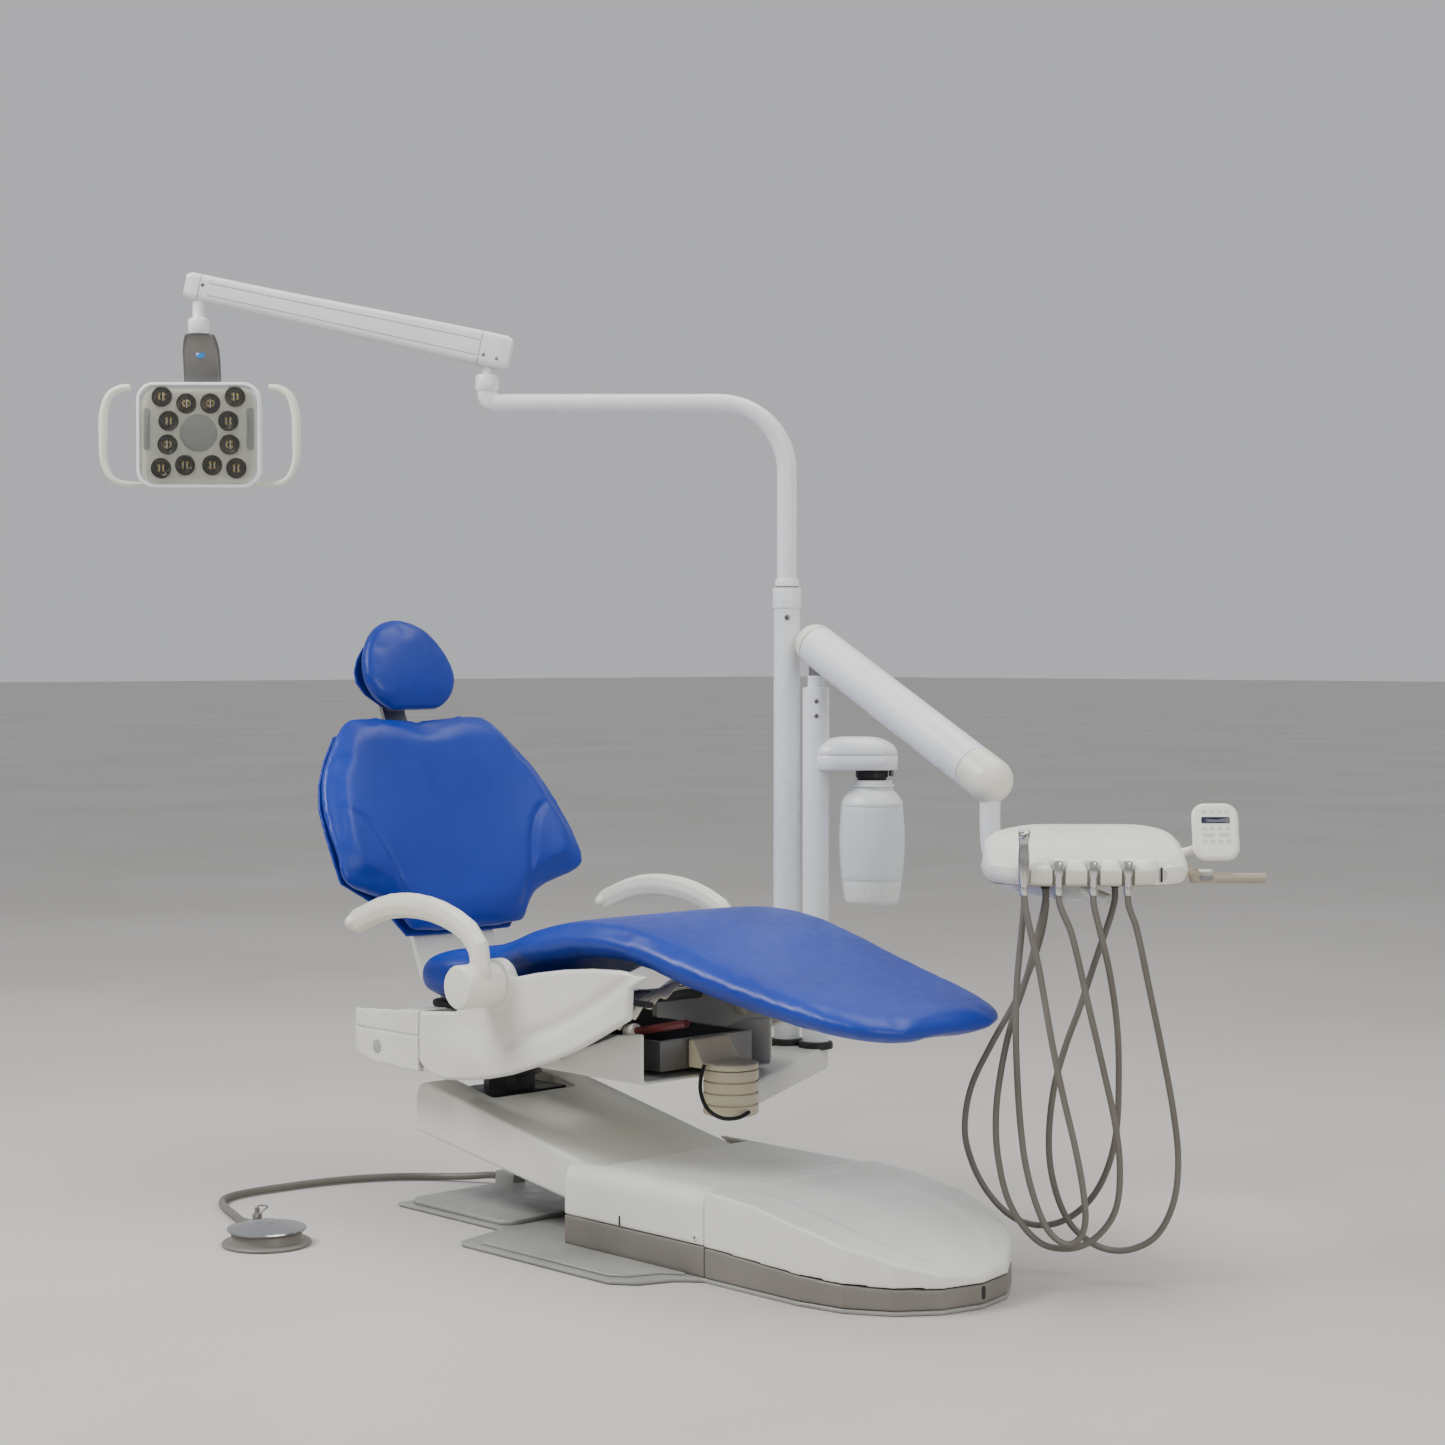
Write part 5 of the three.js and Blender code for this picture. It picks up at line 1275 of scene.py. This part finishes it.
bracket = [(-34, 0, 664), (0, -6, 655), (26, -22, 646), (40, -34, 640)]
add("head_bracket", tube(bracket, 17, 28, 6, 0.5), "control_head", DOME, HEAD)
bar_line = [(170, -22, 690), (184, -24, 682), (206, -27, 677.5), (240, -29, 676.4),
            (286, -30, 676), (300, -30, 676)]
add("head_handle_bar", tube(bar_line, 9.5, 28, 5, 0.95), "control_head", PAD, HEAD,
    ("head_handle",))
boss = extrude(superellipse(26, 12, 1, 48, 200, -26), 668, 686)
add("handle_boss", boss, "control_head", PAD, HEAD, bevel=4)
button = extrude(superellipse(13, 8, 1, 40, 200, -26), 684, 690.5)
add("brake_push", button, "control_head", IVORY, HEAD, ("brake_button",),
    bevel=2)
side_mark = moved(extrude(rounded(11, 6, 5.8, 8), -2, 1.4), facing(200, -37.5, 678, (0, -1, 0)))
add("handle_side_oval", side_mark, "control_head", STEEL, HEAD, bevel=0.8)

PAD_FACE = Matrix.Translation((218, -20, 752)) @ Matrix.Rotation(math.radians(-18), 4, "X")


def on_pad(half_x, half_z, corner, cx, cz, low, high):
    """A plate on the touchpad's face, from low to high in front of its middle plane."""
    outline = rounded(half_x, half_z, corner, 8, cx, cz)
    return moved(loft([[(x, -y, z) for x, z in outline] for y in (low, high)]), PAD_FACE)


body_rings = []
for y, grow in ((9, -12), (7.5, -5), (3, -1), (-3, 0), (-6.5, -1.5), (-8.4, -4), (-9, -8)):
    body_rings.append([(x, y, z) for x, z in rounded(39.5 + grow, 49.5 + grow, 23 + grow * 0.5, 12)])
add("touchpad_shell", moved(loft(body_rings), PAD_FACE), "touchpad", WARM, HEAD,
    ("touchpad",), angle=50)
add("touchpad_screen", on_pad(24, 5.5, 1.5, 0, 19, 8.2, 9.5), "touchpad", NAVY,
    HEAD, bevel=0.3)
COLUMNS = (-19.5, -6.5, 6.5, 19.5)
# Where each key is, across and up, and its half width and half height.
KEYS = [(x, z, 4, 3) for z in (34, 5) for x in COLUMNS]
KEYS += [(x, -6, 10, 3.2) for x in (-13, 13)]
KEYS += [(x, -17, 4, 3) for x in COLUMNS]
for k, (x, z, half_x, half_z) in enumerate(KEYS):
    add(f"touchpad_key_{k:02d}", on_pad(half_x, half_z, 2.6, x, z, 8, 9.6), "touchpad", BUTTON,
        HEAD, bevel=0.5)
neck = tube([(160, -8, 716), (182, -8, 722), (204, -10, 730), (214, -14, 738)], 9, 24, 5, 0.8)
add("touchpad_stalk", neck, "touchpad", WARM, HEAD)

# ---------------------------------------------------------------- floor and light

floor = bpy.data.meshes.new("studio_floor")
FLOOR_REACH = 90
corners = [(-FLOOR_REACH, -FLOOR_REACH, -0.0005), (FLOOR_REACH, -FLOOR_REACH, -0.0005),
           (FLOOR_REACH, FLOOR_REACH, -0.0005), (-FLOOR_REACH, FLOOR_REACH, -0.0005)]
floor.from_pydata(corners, [], [(0, 1, 2, 3)])
ground = bpy.data.objects.new("studio_floor", floor)
floor.materials.append(FLOOR)
SCENE.collection.objects.link(ground)

world = bpy.data.worlds.new("studio")
world.use_nodes = True
world.node_tree.nodes["Background"].inputs["Color"].default_value = (0.62, 0.63, 0.65, 1)
world.node_tree.nodes["Background"].inputs["Strength"].default_value = 0.82
SCENE.world = world


def lamp(name, at, aim, size, power, colour=(1, 1, 1)):
    """A soft rectangular light at a place, turned to a point it aims at."""
    data = bpy.data.lights.new(name, "AREA")
    data.shape = "RECTANGLE"
    data.size, data.size_y = size
    data.energy = power
    data.color = colour
    made = bpy.data.objects.new(name, data)
    made.location = at
    way = Vector(aim) - Vector(at)
    made.rotation_euler = way.to_track_quat("-Z", "Y").to_euler()
    SCENE.collection.objects.link(made)


lamp("key", (-1.6, -3.0, 4.2), (-0.2, 0, 0.5), (2.4, 1.8), 215)
lamp("fill", (4.2, -1.0, 2.4), (0, 0, 0.6), (2.5, 2.0), 72, (1.0, 0.98, 0.95))
lamp("top", (0.4, 1.2, 4.0), (0, 0.1, 0.5), (3.0, 2.0), 70)
